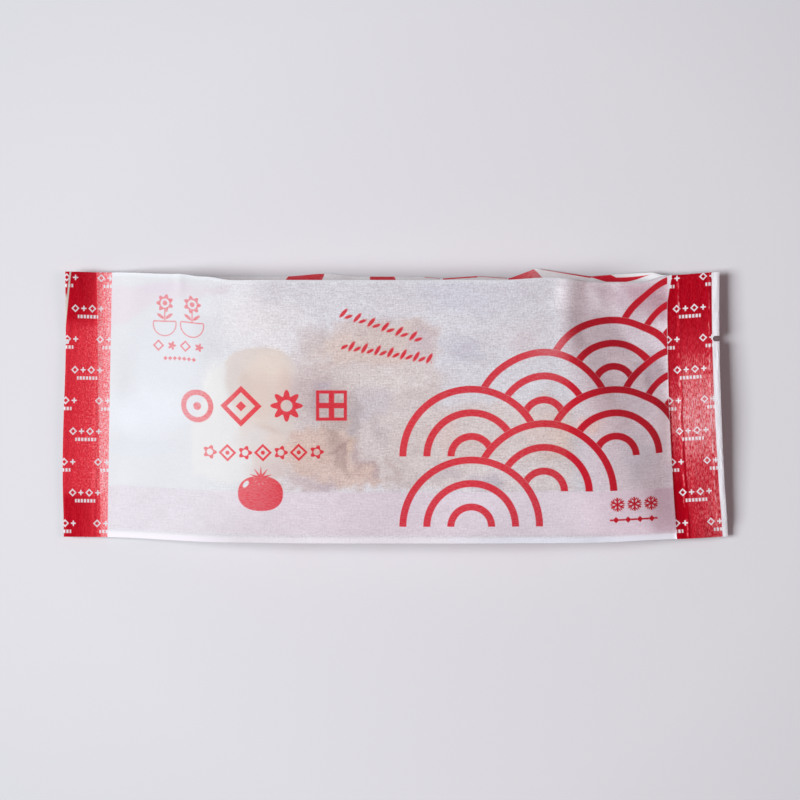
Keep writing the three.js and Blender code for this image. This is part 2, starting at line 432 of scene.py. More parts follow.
class Sheet:
    """One material's node tree, written as expressions."""

    def __init__(self, name: str) -> None:
        """Starts an empty material with an output."""
        self.material = bpy.data.materials.new(name)
        self.material.use_nodes = True
        self.tree = self.material.node_tree
        self.tree.nodes.clear()
        self.output = self.tree.nodes.new("ShaderNodeOutputMaterial")

    def node(
        self, kind: str, settings: dict | None = None, inputs: dict | None = None, output: int | str = 0
    ) -> Field:
        """Adds one node.

        Args:
            kind: The node's type.
            settings: Its settings, set first.
            inputs: Values, or fields to link, by socket name or index.
            output: The socket that the field wraps.

        Returns:
            The wrapped output.
        """
        made = self.tree.nodes.new(kind)
        for key, value in (settings or {}).items():
            if key == "ramp":
                self._fill_ramp(made.color_ramp, value)
            else:
                setattr(made, key, value)
        for key, value in (inputs or {}).items():
            if isinstance(value, Field):
                self.tree.links.new(value.socket, made.inputs[key])
            else:
                made.inputs[key].default_value = value
        return Field(self, made.outputs[output])

    @staticmethod
    def _fill_ramp(ramp: bpy.types.ColorRamp, stops: Sequence[tuple[float, Colour]]) -> None:
        """Writes a colour ramp's stops."""
        while len(ramp.elements) > 1:
            ramp.elements.remove(ramp.elements[-1])
        for index, (place, colour) in enumerate(stops):
            element = ramp.elements[0] if index == 0 else ramp.elements.new(place)
            element.position = place
            element.color = (*colour, 1.0)

    def blend(
        self, share: Field | float, first: Field | Colour, second: Field | Colour, mode: str = "MIX"
    ) -> Field:
        """Mixes two colours.

        Args:
            share: How much of the second one shows.
            first, second: Colours, or fields that carry one.
            mode: The Mix node's blend type.

        Returns:
            The mixed colour.
        """
        colours = [value if isinstance(value, Field) else (*value, 1.0) for value in (first, second)]
        settings = {"data_type": "RGBA", "blend_type": mode}
        return self.node("ShaderNodeMix", settings, {0: share, 6: colours[0], 7: colours[1]}, output=2)

    def noise(self, place: Field, scale: float, detail: float = 2.0, roughness: float = 0.5) -> Field:
        """Noise around 0.5 at a place."""
        values = {"Vector": place, "Scale": scale, "Detail": detail, "Roughness": roughness}
        return self.node("ShaderNodeTexNoise", {}, values)

    def stretched(self, place: Field, scale: tuple[float, float, float]) -> Field:
        """A place scaled along each axis."""
        return self.node("ShaderNodeMapping", {"vector_type": "POINT"}, {"Vector": place, "Scale": scale})

    def streaks(
        self, place: Field, scale: tuple[float, float], detail: float = 2.0, roughness: float = 0.6
    ) -> Field:
        """Noise around 0.5 with one scale along the film and another across it."""
        return self.noise(self.stretched(place, (*scale, 1.0)), 1.0, detail, roughness)

    def value(self, attribute: str) -> Field:
        """A number stored on the mesh."""
        return self.node("ShaderNodeAttribute", {"attribute_name": attribute}, output="Fac")

    def finish(self, surface: dict, bump_height: Field | None = None, distance: float = 0.0001) -> None:
        """Closes the material with one Principled surface.

        Args:
            surface: The Principled shader's values and fields by socket name.
            bump_height: A height field for a Bump node.
            distance: The height, in metres, that the field's 1 stands for.
        """
        values = dict(surface)
        if bump_height is not None:
            values["Normal"] = self.node("ShaderNodeBump", {}, {"Height": bump_height, "Distance": distance})
        shader = self.node("ShaderNodeBsdfPrincipled", {}, values)
        self.tree.links.new(shader.socket, self.output.inputs["Surface"])


# ---------------------------------------------------------------- printed motifs


@dataclass
class Pen:
    """Draws flat figures on the film's own coordinates, as masks that are 1 on ink and 0 off it."""

    sheet: Sheet
    x: Field
    y: Field
    edge: float = 0.16  # how soft an ink edge is, in millimetres

    def at(self, centre: tuple[float, float], turn_deg: float = 0.0) -> "Pen":
        """A pen whose origin is the given place, turned anticlockwise."""
        across, up = self.x - centre[0], self.y - centre[1]
        if not turn_deg:
            return Pen(self.sheet, across, up, self.edge)
        cos, sin = math.cos(math.radians(turn_deg)), math.sin(math.radians(turn_deg))
        return Pen(self.sheet, across * cos + up * sin, up * cos - across * sin, self.edge)

    def repeated(self, pitch: float) -> "Pen":
        """A pen that draws again at every pitch along x."""
        return Pen(self.sheet, self.x.fold(pitch), self.y, self.edge)

    def mirrored(self) -> "Pen":
        """A pen that draws alike on both sides of its upright axis."""
        return Pen(self.sheet, abs(self.x), self.y, self.edge)

    def radius(self) -> Field:
        """Distance from the origin."""
        return (self.x * self.x + self.y * self.y) ** 0.5

    def inside(self, distance: Field) -> Field:
        """Ink where a signed distance is below 0."""
        return distance.ramp(self.edge, -self.edge)

    def disc(self, radius: float) -> Field:
        """A filled circle."""
        return self.inside(self.radius() - radius)

    def ring(self, radius: float, width: float) -> Field:
        """A circle's outline."""
        return self.inside(abs(self.radius() - radius) - width / 2)

    def oval(self, half_x: float, half_y: float, hollow: float = 0.0) -> Field:
        """An oval, filled, or an outline of the given width."""
        across, up = self.x / half_x, self.y / half_y
        distance = ((across * across + up * up) ** 0.5 - 1.0) * min(half_x, half_y)
        return self.inside(abs(distance) - hollow / 2 if hollow else distance)

    def box(self, half_x: float, half_y: float) -> Field:
        """A filled rectangle."""
        return self.inside((abs(self.x) - half_x).most(abs(self.y) - half_y))

    def diamond(self, half: float, hollow: float = 0.0) -> Field:
        """A square on its corner, filled, or an outline of the given width."""
        distance = abs(self.x) + abs(self.y) - half
        return self.inside(abs(distance) - hollow * 0.7 if hollow else distance)

    def petals(self, count: int, radius: float, depth: float) -> Field:
        """A flower with round petals."""
        wave = (self.y.arctan2(self.x) * count).cosine()
        return self.inside(self.radius() - (wave * depth + radius))


def union(*masks: Field) -> Field:
    """Ink where any mask has ink."""
    total = masks[0]
    for mask in masks[1:]:
        total = total.most(mask)
    return total


def waves_print(pen: Pen) -> Field:
    """Large overlapping wave scales that climb in steps towards the right end band.

    Args:
        pen: The pen on the film's coordinates.

    Returns:
        The ink mask.
    """
    radius, stroke, ring_pitch = 27.0, 2.7, 9.0
    row_pitch, base_x, base_y = radius / 2, 29.0, -44.0
    first_row = ((pen.y - (base_y + radius)) / row_pitch).floor() + 1.0
    mask: Field | None = None
    taken: Field | None = None
    for step in range(3):
        row = first_row + float(step)
        centre_y = row * row_pitch + base_y
        dx = (pen.x - base_x - abs(row.fold(2.0)) * radius).fold(2 * radius)
        centre_x = pen.x - dx
        dy = pen.y - centre_y
        distance = (dx * dx + dy * dy) ** 0.5
        climbs = (centre_x - centre_y * 1.25).above(46.0)
        kept_low = 1.0 - (centre_x - 70.0).above(0.0) * (-28.0 - centre_y).above(0.0)
        rows = (24.0 - centre_y).above(0.0) * (centre_y + 50.0).above(0.0)
        shown = climbs * kept_low * rows * (centre_x - 15.0).above(0.0)
        within = (distance - radius).ramp(0.02, -0.02) * dy.above(0.0) * shown
        arcs = abs((distance + (stroke / 2 - radius)).fold(ring_pitch)) - stroke / 2
        ink = pen.inside(arcs) * (distance - 4.0).ramp(-0.1, 0.1) * within
        if mask is None or taken is None:
            mask, taken = ink, within
        else:
            mask, taken = mask + ink * (1.0 - taken), taken.most(within)
    assert mask is not None
    return mask


def emblem_print(pen: Pen) -> Field:
    """Two potted flowers over a row of small figures and a row of lozenges.

    Args:
        pen: The pen on the film's coordinates.

    Returns:
        The ink mask.
    """
    plant = pen.at((-81.5, 35.0)).mirrored().at((5.4, 0.0))
    flower = plant.at((0.0, 4.4))
    head = flower.petals(7, 2.9, 0.55) * (1.0 - flower.ring(1.35, 0.8))
    leaves = plant.mirrored().at((1.6, -0.6), 35.0).oval(1.7, 0.6)
    stem = plant.at((0.0, -0.4)).box(0.24, 2.2)
    pot = plant.at((0.0, -3.6)).oval(4.5, 4.4, 0.42) * (plant.y + 2.4).ramp(0.1, -0.1)
    rim = plant.at((0.0, -2.5)).box(4.3, 0.24)
    row = pen.at((-81.3, 23.3))
    pitch = 10.6
    rhombs = row.at((pitch / 4, 0.0)).repeated(pitch).diamond(1.8, 0.62)
    blooms = row.at((-pitch / 4, 0.0)).repeated(pitch).petals(5, 1.3, 0.4)
    figures = union(rhombs, blooms) * row.box(10.4, 3.0)
    line = pen.at((-80.9, 18.5))
    lozenges = line.repeated(1.85).diamond(0.85) * line.box(6.4, 1.4)
    return union(head, leaves, stem, pot, rim, figures, lozenges)


def title_print(pen: Pen) -> Field:
    """A row of four bold geometric ornaments over a line of small thin ones.

    Args:
        pen: The pen on the film's coordinates.

    Returns:
        The ink mask.
    """
    spots = [pen.at(place) for place in ((-74.0, 1.1), (-57.3, 2.0), (-40.1, 2.3), (-23.3, 2.4))]
    target = union(spots[0].ring(5.2, 2.0), spots[0].disc(1.5))
    lozenge = union(spots[1].diamond(6.6, 1.8), spots[1].diamond(2.0))
    flower = spots[2].petals(8, 4.9, 1.2) * (1.0 - spots[2].disc(2.2))
    quarter = Pen(pen.sheet, abs(spots[3].x) - 2.8, abs(spots[3].y) - 2.8, pen.edge)
    window = spots[3].box(5.8, 5.8) * (1.0 - quarter.box(1.75, 1.75))
    line, pitch = pen.at((-49.0, -15.7), 1.0), 13.46
    even, odd = line.repeated(pitch), line.at((pitch / 2, 0.0)).repeated(pitch)
    small = union(even.diamond(2.8, 0.85), even.disc(0.8), odd.petals(5, 2.2, 0.5) * (1.0 - odd.disc(1.2)))
    return union(target, lozenge, flower, window, small * line.box(23.2, 3.4))


def slanted_print(pen: Pen) -> Field:
    """Two slanted rows of loose leaves.

    Args:
        pen: The pen on the film's coordinates.

    Returns:
        The ink mask.
    """
    rows = []
    # each row's middle and turn, half its length, and the distance from leaf pair to leaf pair
    plan = (((-4.8, 32.8), -18.4, 16.6, 5.5), ((-2.6, 22.7), -9.1, 17.2, 4.9))
    for centre, turn_deg, half, pitch in plan:
        row = pen.at(centre, turn_deg)
        cell = row.at((pitch / 2, 0.0)).repeated(pitch)
        upright = cell.at((-1.15, 0.2), 68.0).oval(2.2, 0.72)
        flat = cell.at((1.1, -0.5), 38.0).oval(1.6, 0.62)
        rows.append(union(upright, flat) * row.box(half, 3.4))
    return union(*rows)


def tomato_print(pen: Pen) -> Field:
    """A plain tomato: a squat disc with a highlight and a thin spiky calyx.

    Args:
        pen: The pen on the film's coordinates.

    Returns:
        The ink mask.
    """
    middle = pen.at((-50.0, -31.4))
    squat = Pen(pen.sheet, middle.x / 8.5, middle.y / 6.75, pen.edge / 7)
    body = squat.inside((abs(squat.x) ** 2.3 + abs(squat.y) ** 2.3) ** 0.4348 - 1.0)
    glint = middle.at((-5.5, 3.5), -38.0).oval(0.85, 1.5)
    calyx = middle.at((0.2, 6.0))
    angle = calyx.x.arctan2(calyx.y).fold(math.pi / 5)
    reach = calyx.radius()
    spike = abs(angle) * reach - (0.62 - reach * 0.13)
    leaves = calyx.inside(spike) * (reach - 4.3).ramp(0.2, -0.2) * (calyx.y + 0.2).ramp(-0.3, 0.3)
    gaps = calyx.inside(abs(abs(angle) * reach - 0.75) - 0.1) * calyx.disc(2.6)
    return union(body * (1.0 - glint) * (1.0 - gaps * 0.6), leaves)


def cold_print(pen: Pen) -> Field:
    """Three snow crystals over a line of dashes and lozenges.

    Args:
        pen: The pen on the film's coordinates.

    Returns:
        The ink mask.
    """
    crystals = pen.at((89.1, -35.9))
    crystal = crystals.repeated(6.3)
    turned = crystal.x.arctan2(crystal.y).fold(math.pi / 3)
    reach = crystal.radius()
    along = reach * turned.cosine()
    off = abs(reach * turned.sine())
    arm = pen.inside((off - 0.38).most(along - 2.7))
    barb = pen.inside((abs(along - off * 0.9 - 1.3) - 0.35).most(off - 1.1))
    line = pen.at((88.7, -41.9))
    pitch = 4.4
    dashes = line.repeated(pitch).box(1.2, 0.36)
    lozenges = line.at((pitch / 2, 0.0)).repeated(pitch).diamond(1.25)
    return union(union(arm, barb) * crystals.box(9.2, 3.2), union(dashes, lozenges) * line.box(8.8, 2.0))


def band_marks(pen: Pen, origin: tuple[float, float]) -> Field:
    """Small staggered groups of four figures over a dotted bar.

    Args:
        pen: The pen on the film's coordinates.
        origin: The middle of one group.

    Returns:
        1 on the figures.
    """
    row_pitch, group_pitch, mark_pitch = 11.7, 20.0, 3.36
    start = pen.at(origin)
    row = (start.y / row_pitch + 0.5).floor()
    local_x = (start.x + abs(row.fold(2.0)) * (group_pitch / 2)).fold(group_pitch)
    group = Pen(pen.sheet, local_x, start.y.fold(row_pitch), 0.13)
    even = group.at((mark_pitch / 2, 0.0)).repeated(2 * mark_pitch)
    odd = group.at((-mark_pitch / 2, 0.0)).repeated(2 * mark_pitch)
    figures = union(even.diamond(1.2, 0.46), odd.petals(4, 0.72, 0.33)) * group.box(2 * mark_pitch, 2.0)
    bar = group.at((0.0, -3.1))
    dots = bar.repeated(1.3).box(0.42, 0.62) * bar.box(4.1, 1.0)
    return union(figures, dots)


def gusset_print(pen: Pen) -> Field:
    """Red cells by both creases, some of them cut slantwise, and thin lines along the edge between them.

    Args:
        pen: A pen whose y is 0 at one crease of a gusset and 42 at the other.

    Returns:
        The ink mask.
    """
    leg, cell_depth = 21.0, 7.2
    row = pen.at((0.0, leg))
    depth = leg - abs(row.y)
    # centre, half width and middle depth of each cell, and how far it slants for each millimetre of depth
    cells = (
        (-92.0, 8.0, 10.5, 0.0), (-64.0, 6.0, 10.5, 0.0), (-33.4, 7.2, 5.8, -0.5), (-4.5, 4.9, 5.8, 0.15),
        (24.5, 6.4, 10.5, 0.0),
    )
    masks = []
    for centre, half, middle, slant in cells:
        across = abs((row.x - depth * slant - centre) / half) ** 6.0
        reach = (across + abs((depth - middle) / cell_depth) ** 6.0) ** 0.1667
        masks.append(row.inside((reach - 1.0) * min(half, cell_depth)))
    masks.append(row.inside((row.x - depth - 53.3).most(43.6 - row.x).most(depth - 12.0)))
    outer = (row.x - 82.9).ramp(0.0, 2.1) * 1.3 + (row.x - 85.0).ramp(0.0, 13.0) * 1.1
    inner = (row.x - 75.3).ramp(0.0, 8.5) * 3.5 + 0.4 - (row.x - 93.0).ramp(0.0, 5.0) * 1.4
    masks.append(row.inside((outer - depth).most(depth - inner).most(abs(row.x - 86.8) - 11.3)))
    edge = Pen(pen.sheet, row.x, depth, 0.1)
    lines = (((14.6, 0.15), 2.9, 0.13), ((25.2, 0.4), 6.5, 0.36), ((37.4, 0.15), 5.8, 0.13))
    for centre, half_x, half_y in lines:
        masks.append(edge.at(centre).box(half_x, half_y))
    swelling = (row.x - 56.0).ramp(0.0, 19.5) * 0.45 + 0.15
    masks.append(edge.inside((depth - swelling).most(abs(row.x - 65.8) - 9.8)))
    return union(*masks)


# ---------------------------------------------------------------- finishes


@dataclass(frozen=True)
class FilmFinish:
    """White paper-like film that takes red ink, and lets what lies under it show faintly."""

    white: Colour = (0.666, 0.682, 0.720)
    ink: Colour = (0.62, 0.008, 0.027)
    thin: Colour = (0.70, 0.64, 0.65)  # where the fibres let more of what lies below through
    thick: Colour = (1.30, 1.36, 1.35)
    roughness: float = 0.55
    gloss: float = 0.2
    tooth_depth: float = 0.00005  # in metres

    def coordinates(self, sheet: Sheet) -> tuple[Field, Pen]:
        """The film's own coordinates in millimetres, as a vector and as a pen.

        Args:
            sheet: The material being built.

        Returns:
            The coordinates.
        """
        flat = sheet.node("ShaderNodeUVMap", {"uv_map": FLAT_MAP})
        scale = 1 / UV_SCALE
        millimetres = sheet.stretched(flat, (scale, scale, 1.0))
        parts = sheet.node("ShaderNodeSeparateXYZ", {}, {0: millimetres})
        other = Field(sheet, parts.socket.node.outputs[1])
        return millimetres, Pen(sheet, parts, other)

    def paper(self, sheet: Sheet, place: Field) -> tuple[Field, Field]:
        """The bare film, with what shows through it.

        Args:
            sheet: The material being built.
            place: The film's own coordinates.

        Returns:
            The colour and the height field.
        """
        fibre = sheet.streaks(place, (0.28, 1.9))
        weave = sheet.streaks(place, (1.9, 0.42))
        tooth = sheet.streaks(place, (1.35, 1.6))
        blots = sheet.streaks(place, (0.13, 0.24), 3.0, 0.55)
        strength = sheet.value(MOTTLE)
        grain = (fibre - 0.5) * 0.8 + (weave - 0.5) * 0.6 + (tooth - 0.5) * 1.1 + (blots - 0.5) * 0.35
        uneven = sheet.blend(grain * strength + 0.5, self.thin, self.thick)
        tone = sheet.node("ShaderNodeAttribute", {"attribute_name": SHOW_THROUGH_AND_LIGHT}, output="Color")
        bare = sheet.blend(1.0, tone, self.white, "MULTIPLY")
        return sheet.blend(1.0, bare, uneven, "MULTIPLY"), fibre * 0.5 + tooth * 0.5

    def dress(self, name: str, draw: Callable[[Pen], Field] | None) -> bpy.types.Material:
        """Builds the film's material for one printed region.

        Args:
            name: The material's name.
            draw: Gives the region's ink mask, or None where the film is bare.

        Returns:
            The material.
        """
        sheet = Sheet(name)
        place, pen = self.coordinates(sheet)
        base, height = self.paper(sheet, place)
        if draw is not None:
            specks = sheet.streaks(place, (0.7, 2.0))
            # the wash pales the ink where painted glare falls
            sheen_wash = sheet.value(WASH)
            cover = draw(pen) * ((specks - 0.5) * (sheen_wash * 1.6 + 0.16) + 1.0 - sheen_wash).least(1.0)
            base = sheet.blend(cover, base, self.ink)
        surface = {"Base Color": base, "Roughness": self.roughness, "Specular IOR Level": self.gloss}
        sheet.finish(surface, height, self.tooth_depth)
        return sheet.material


Washes = tuple[tuple[float, Colour], ...]
# the red at growing shares of wash, from full ink to nearly white
LEFT_WASHES: Washes = (
    (0.0, (0.42, 0.0015, 0.012)), (0.31, (0.64, 0.03, 0.049)), (0.54, (0.76, 0.13, 0.15)),
    (0.77, (0.76, 0.29, 0.32)), (1.0, (0.79, 0.50, 0.54)),
)
RIGHT_WASHES: Washes = (
    (0.0, (0.395, 0.001, 0.010)), (0.31, (0.56, 0.022, 0.042)), (0.54, (0.70, 0.13, 0.15)),
    (0.77, (0.77, 0.27, 0.30)), (1.0, (0.79, 0.48, 0.52)),
)


@dataclass(frozen=True)
class BandFinish:
    """A heat-sealed end band: red ink over crimped film, washed out where fewer layers back it and by
    painted sheen.
    """

    origin: tuple[float, float]  # the middle of one group of marks
    crimping: float  # how strongly the upright crimps fleck the red
    graining: float  # how strongly round specks do
    marks: float  # how strongly the marks stand out
    roughness: float
    crimp_depth: float  # in metres
    washes: Washes
    film: FilmFinish = FilmFinish()
    cut_edge: Colour = (0.50, 0.52, 0.47)
    gloss: float = 0.03

    def red(self, sheet: Sheet, place: Field, extra: Field | float) -> tuple[Field, Field]:
        """The washed red.

        Args:
            sheet: The material being built.
            place: The film's own coordinates.
            extra: Added to the mesh's wash.

        Returns:
            The colour, and the crimps' height field.
        """
        crimp = sheet.streaks(place, (2.3, 0.6))
        grain = sheet.noise(place, 1.6, 2.0, 0.6)
        cloud = sheet.noise(place, 0.2, 2.0)
        wash = sheet.value(WASH) + extra
        uneven = (crimp - 0.5) * self.crimping + (grain - 0.5) * self.graining + (cloud - 0.5) * 0.3
        share = (wash + uneven * (wash.most(0.0) * 0.7 + 0.16)) / 1.3
        colour = sheet.node("ShaderNodeValToRGB", {"ramp": self.washes}, {"Fac": share})
        return colour, crimp * 0.7 + grain * 0.3

    def dress_left(self, name: str) -> bpy.types.Material:
        """Builds the left band: a strip beside the film paled by painted sheen, and a curled cut edge at its
        north corner.

        Args:
            name: The material's name.

        Returns:
            The material.
        """
        sheet = Sheet(name)
        place, pen = self.film.coordinates(sheet)
        past_border = pen.x + pen.y * 0.033 + 112.4  # past the print's slightly askew inner border
        # painted sheen pales the strip past the inner border, more at the north
        strip_sheen = past_border.ramp(2.2, 0.8) * 0.08 + pen.y.ramp(26.0, 34.0) * 0.2 + 0.22
        red, height = self.red(sheet, place, past_border.ramp(-0.2, 0.2) * strip_sheen)
        white, _ = self.film.paper(sheet, place)
        base = sheet.blend(band_marks(pen, self.origin) * self.marks, red, white)
        base = sheet.blend(pen.x.ramp(-108.35, -108.05), base, white)
        past_edge = (pen.y - 27.0) * 0.11 - pen.x - 126.7  # past the curled cut edge
        north = pen.y.ramp(25.5, 27.5)
        cut = pen.inside(abs(past_edge) - 0.3) * north
        behind = past_edge.ramp(0.0, 0.15) * north * pen.y.ramp(42.5, 40.5)
        base = sheet.blend(union(cut, behind * 0.8), base, self.cut_edge)
        return self.close(sheet, base, height)

    def dress_right(self, name: str) -> bpy.types.Material:
        """Builds the right band: a bare margin at the cut edge, and painted highlights along two creases in
        it, with a painted shade line beside the inner one.

        Args:
            name: The material's name.

        Returns:
            The material.
        """
        sheet = Sheet(name)
        place, pen = self.film.coordinates(sheet)
        wander = (sheet.streaks(place, (0.2, 0.12), roughness=0.5) - 0.5) * 1.6
        gaps = sheet.streaks(place, (0.3, 0.22), roughness=0.5).ramp(0.42, 0.6)
        # painted highlights along the two creases, and painted shade in a line beside the inner one
        inner = abs(pen.x + wander - 108.5).ramp(0.5, 0.15)
        outer = abs(pen.x + wander * 0.6 - 120.3).ramp(0.4, 0.1)
        groove = abs(pen.x + wander - 109.4).ramp(0.5, 0.2) * pen.y.ramp(12.0, 2.0)
        red, height = self.red(sheet, place, (inner + outer * 0.8) * gaps * 0.75 - groove * 0.35)
        white, _ = self.film.paper(sheet, place)
        base = sheet.blend(band_marks(pen, self.origin) * self.marks, red, white)
        margin = (pen.x + pen.y * 0.0085 - 121.7).ramp(-0.1, 0.1)
        start = (pen.x - 104.4 - pen.y.ramp(40.0, 52.0) * 1.9).ramp(0.1, -0.1)
        base = sheet.blend(union(margin, start), base, white)
        return self.close(sheet, base, height)

    def close(self, sheet: Sheet, base: Field, height: Field) -> bpy.types.Material:
        """Closes a band's material.

        Args:
            sheet: The material being built.
            base: Its colour.
            height: The crimps' height field.

        Returns:
            The material.
        """
        surface = {"Base Color": base, "Roughness": self.roughness, "Specular IOR Level": self.gloss}
        sheet.finish(surface, height, self.crimp_depth)
        return sheet.material


LEFT_BAND = BandFinish((-117.2, 13.2), 1.2, 2.2, 0.93, 0.42, 0.00016, LEFT_WASHES)
RIGHT_BAND = BandFinish((113.0, 14.1), 3.2, 1.0, 0.95, 0.40, 0.0002, RIGHT_WASHES)


@dataclass(frozen=True)
class CrustFinish:
    """Browned waffle crust: golden in the hollows, darker on what touched the iron."""

    pale: Colour = (0.66, 0.38, 0.14)
    brown: Colour = (0.36, 0.145, 0.04)

    def dress(self, name: str) -> bpy.types.Material:
        """Builds the crust's material.

        Args:
            name: The material's name.

        Returns:
            The material.
        """
        sheet = Sheet(name)
        place = sheet.node("ShaderNodeTexCoord", {}, output="Object")
        patches = sheet.noise(place, 60.0, 3.0)
        pores = sheet.noise(place, 900.0, 2.0)
        share = (sheet.value(CRUST_TONE) + (patches - 0.5) * 0.9 + (pores - 0.5) * 0.3).most(0.0).least(1.0)
        base = sheet.blend(share, self.pale, self.brown)
        surface = {"Base Color": base, "Roughness": (patches - 0.5) * 0.2 + 0.6, "Specular IOR Level": 0.35}
        sheet.finish(surface, pores * 0.5 + patches * 0.5, 0.0003)
        return sheet.material


@dataclass(frozen=True)
class FloorFinish:
    """A pale, faintly lavender matt board, with painted shade that darkens it away from its middle."""

    middle: Colour = (0.685, 0.692, 0.734)
    edge: Colour = (0.62, 0.638, 0.679)
    centre: tuple[float, float, float] = (0.01, 0.0, 0.0)  # in metres, as the next one
    fade: tuple[float, float] = (0.15, 0.25)  # from where to where the painted shade darkens it

    def dress(self, name: str) -> bpy.types.Material:
        """Builds the floor's material.

        Args:
            name: The material's name.

        Returns:
            The material.
        """
        sheet = Sheet(name)
        place = sheet.node("ShaderNodeTexCoord", {}, output="Object")
        shifted = sheet.node("ShaderNodeVectorMath", {"operation": "SUBTRACT"}, {0: place, 1: self.centre})
        reach = sheet.node("ShaderNodeVectorMath", {"operation": "LENGTH"}, {0: shifted}, output="Value")
        mottle = (sheet.noise(place, 6.0, 2.0) - 0.5) * 0.2
        base = sheet.blend(reach.ramp(*self.fade) + mottle, self.middle, self.edge)
        sheet.finish({"Base Color": base, "Roughness": 0.85, "Specular IOR Level": 0.2})
        return sheet.material


# ---------------------------------------------------------------- mesh helpers


def deselect_all() -> None:
    """Leaves nothing selected, so that an operator acts on the new piece alone."""
    for item in bpy.context.selected_objects:
        item.select_set(False)


def new_grid(name: str, columns: int, rows: int) -> bpy.types.Object:
    """Adds a flat grid, to be folded into shape.

    Args:
        name: The object's and the mesh's name.
        columns, rows: How many cells it has each way.

    Returns:
        The grid's object.
    """
    deselect_all()
    bpy.ops.mesh.primitive_grid_add(x_subdivisions=columns, y_subdivisions=rows, size=1.0)
    made = bpy.context.object
    made.name = made.data.name = name
    return made


def grid_indices(mesh: bpy.types.Mesh, columns: int, rows: int) -> tuple[np.ndarray, np.ndarray]:
    """Each vertex's column and row in an unfolded grid.

    Args:
        mesh: The grid's mesh.
        columns, rows: How many cells it has each way.

    Returns:
        The columns and the rows.
    """
    flat = np.empty(len(mesh.vertices) * 3, dtype=np.float32)
    mesh.vertices.foreach_get("co", flat)
    flat = flat.reshape(-1, 3)
    column = np.rint((flat[:, 0] + 0.5) * columns).astype(int)
    row = np.rint((flat[:, 1] + 0.5) * rows).astype(int)
    return column, row


def corner_vertices(mesh: bpy.types.Mesh) -> np.ndarray:
    """The vertex at each corner of each face."""
    corner = np.empty(len(mesh.loops), dtype=np.int32)
    mesh.loops.foreach_get("vertex_index", corner)
    return corner


def place_vertices(
    mesh: bpy.types.Mesh, x: np.ndarray, y: np.ndarray, z: np.ndarray, shift: Vector
) -> None:
    """Moves the vertices to their places.

    Args:
        mesh: The mesh.
        x, y, z: The places, in the pack's own millimetres.
        shift: From those to the frame's millimetres.
    """
    places = (np.stack([x, y, z], axis=1) + np.array(shift)) * MM
    mesh.vertices.foreach_set("co", places.astype(np.float32).ravel())


def store(mesh: bpy.types.Mesh, name: str, values: np.ndarray) -> None:
    """Stores a number at each vertex."""
    mesh.attributes.new(name, "FLOAT", "POINT").data.foreach_set("value", values.astype(np.float32))


def weld(made: bpy.types.Object, distance: float) -> None:
    """Merges doubles and turns the faces outwards, in edit mode.

    Args:
        made: The piece.
        distance: How close doubles lie, in metres.
    """
    bpy.context.view_layer.objects.active = made
    made.select_set(True)
    bpy.ops.object.mode_set(mode="EDIT")
    bpy.ops.mesh.select_all(action="SELECT")
    bpy.ops.mesh.remove_doubles(threshold=distance)
    bpy.ops.mesh.dissolve_degenerate(threshold=distance / 2)
    bpy.ops.mesh.select_all(action="SELECT")
    bpy.ops.mesh.normals_make_consistent(inside=False)
    bpy.ops.object.mode_set(mode="OBJECT")


def smooth(made: bpy.types.Object, degrees: float) -> None:
    """Shades smooth, with edges sharper than the angle kept crisp."""
    bpy.context.view_layer.objects.active = made
    made.select_set(True)
    bpy.ops.object.shade_smooth_by_angle(angle=math.radians(degrees))


# ---------------------------------------------------------------- the cake


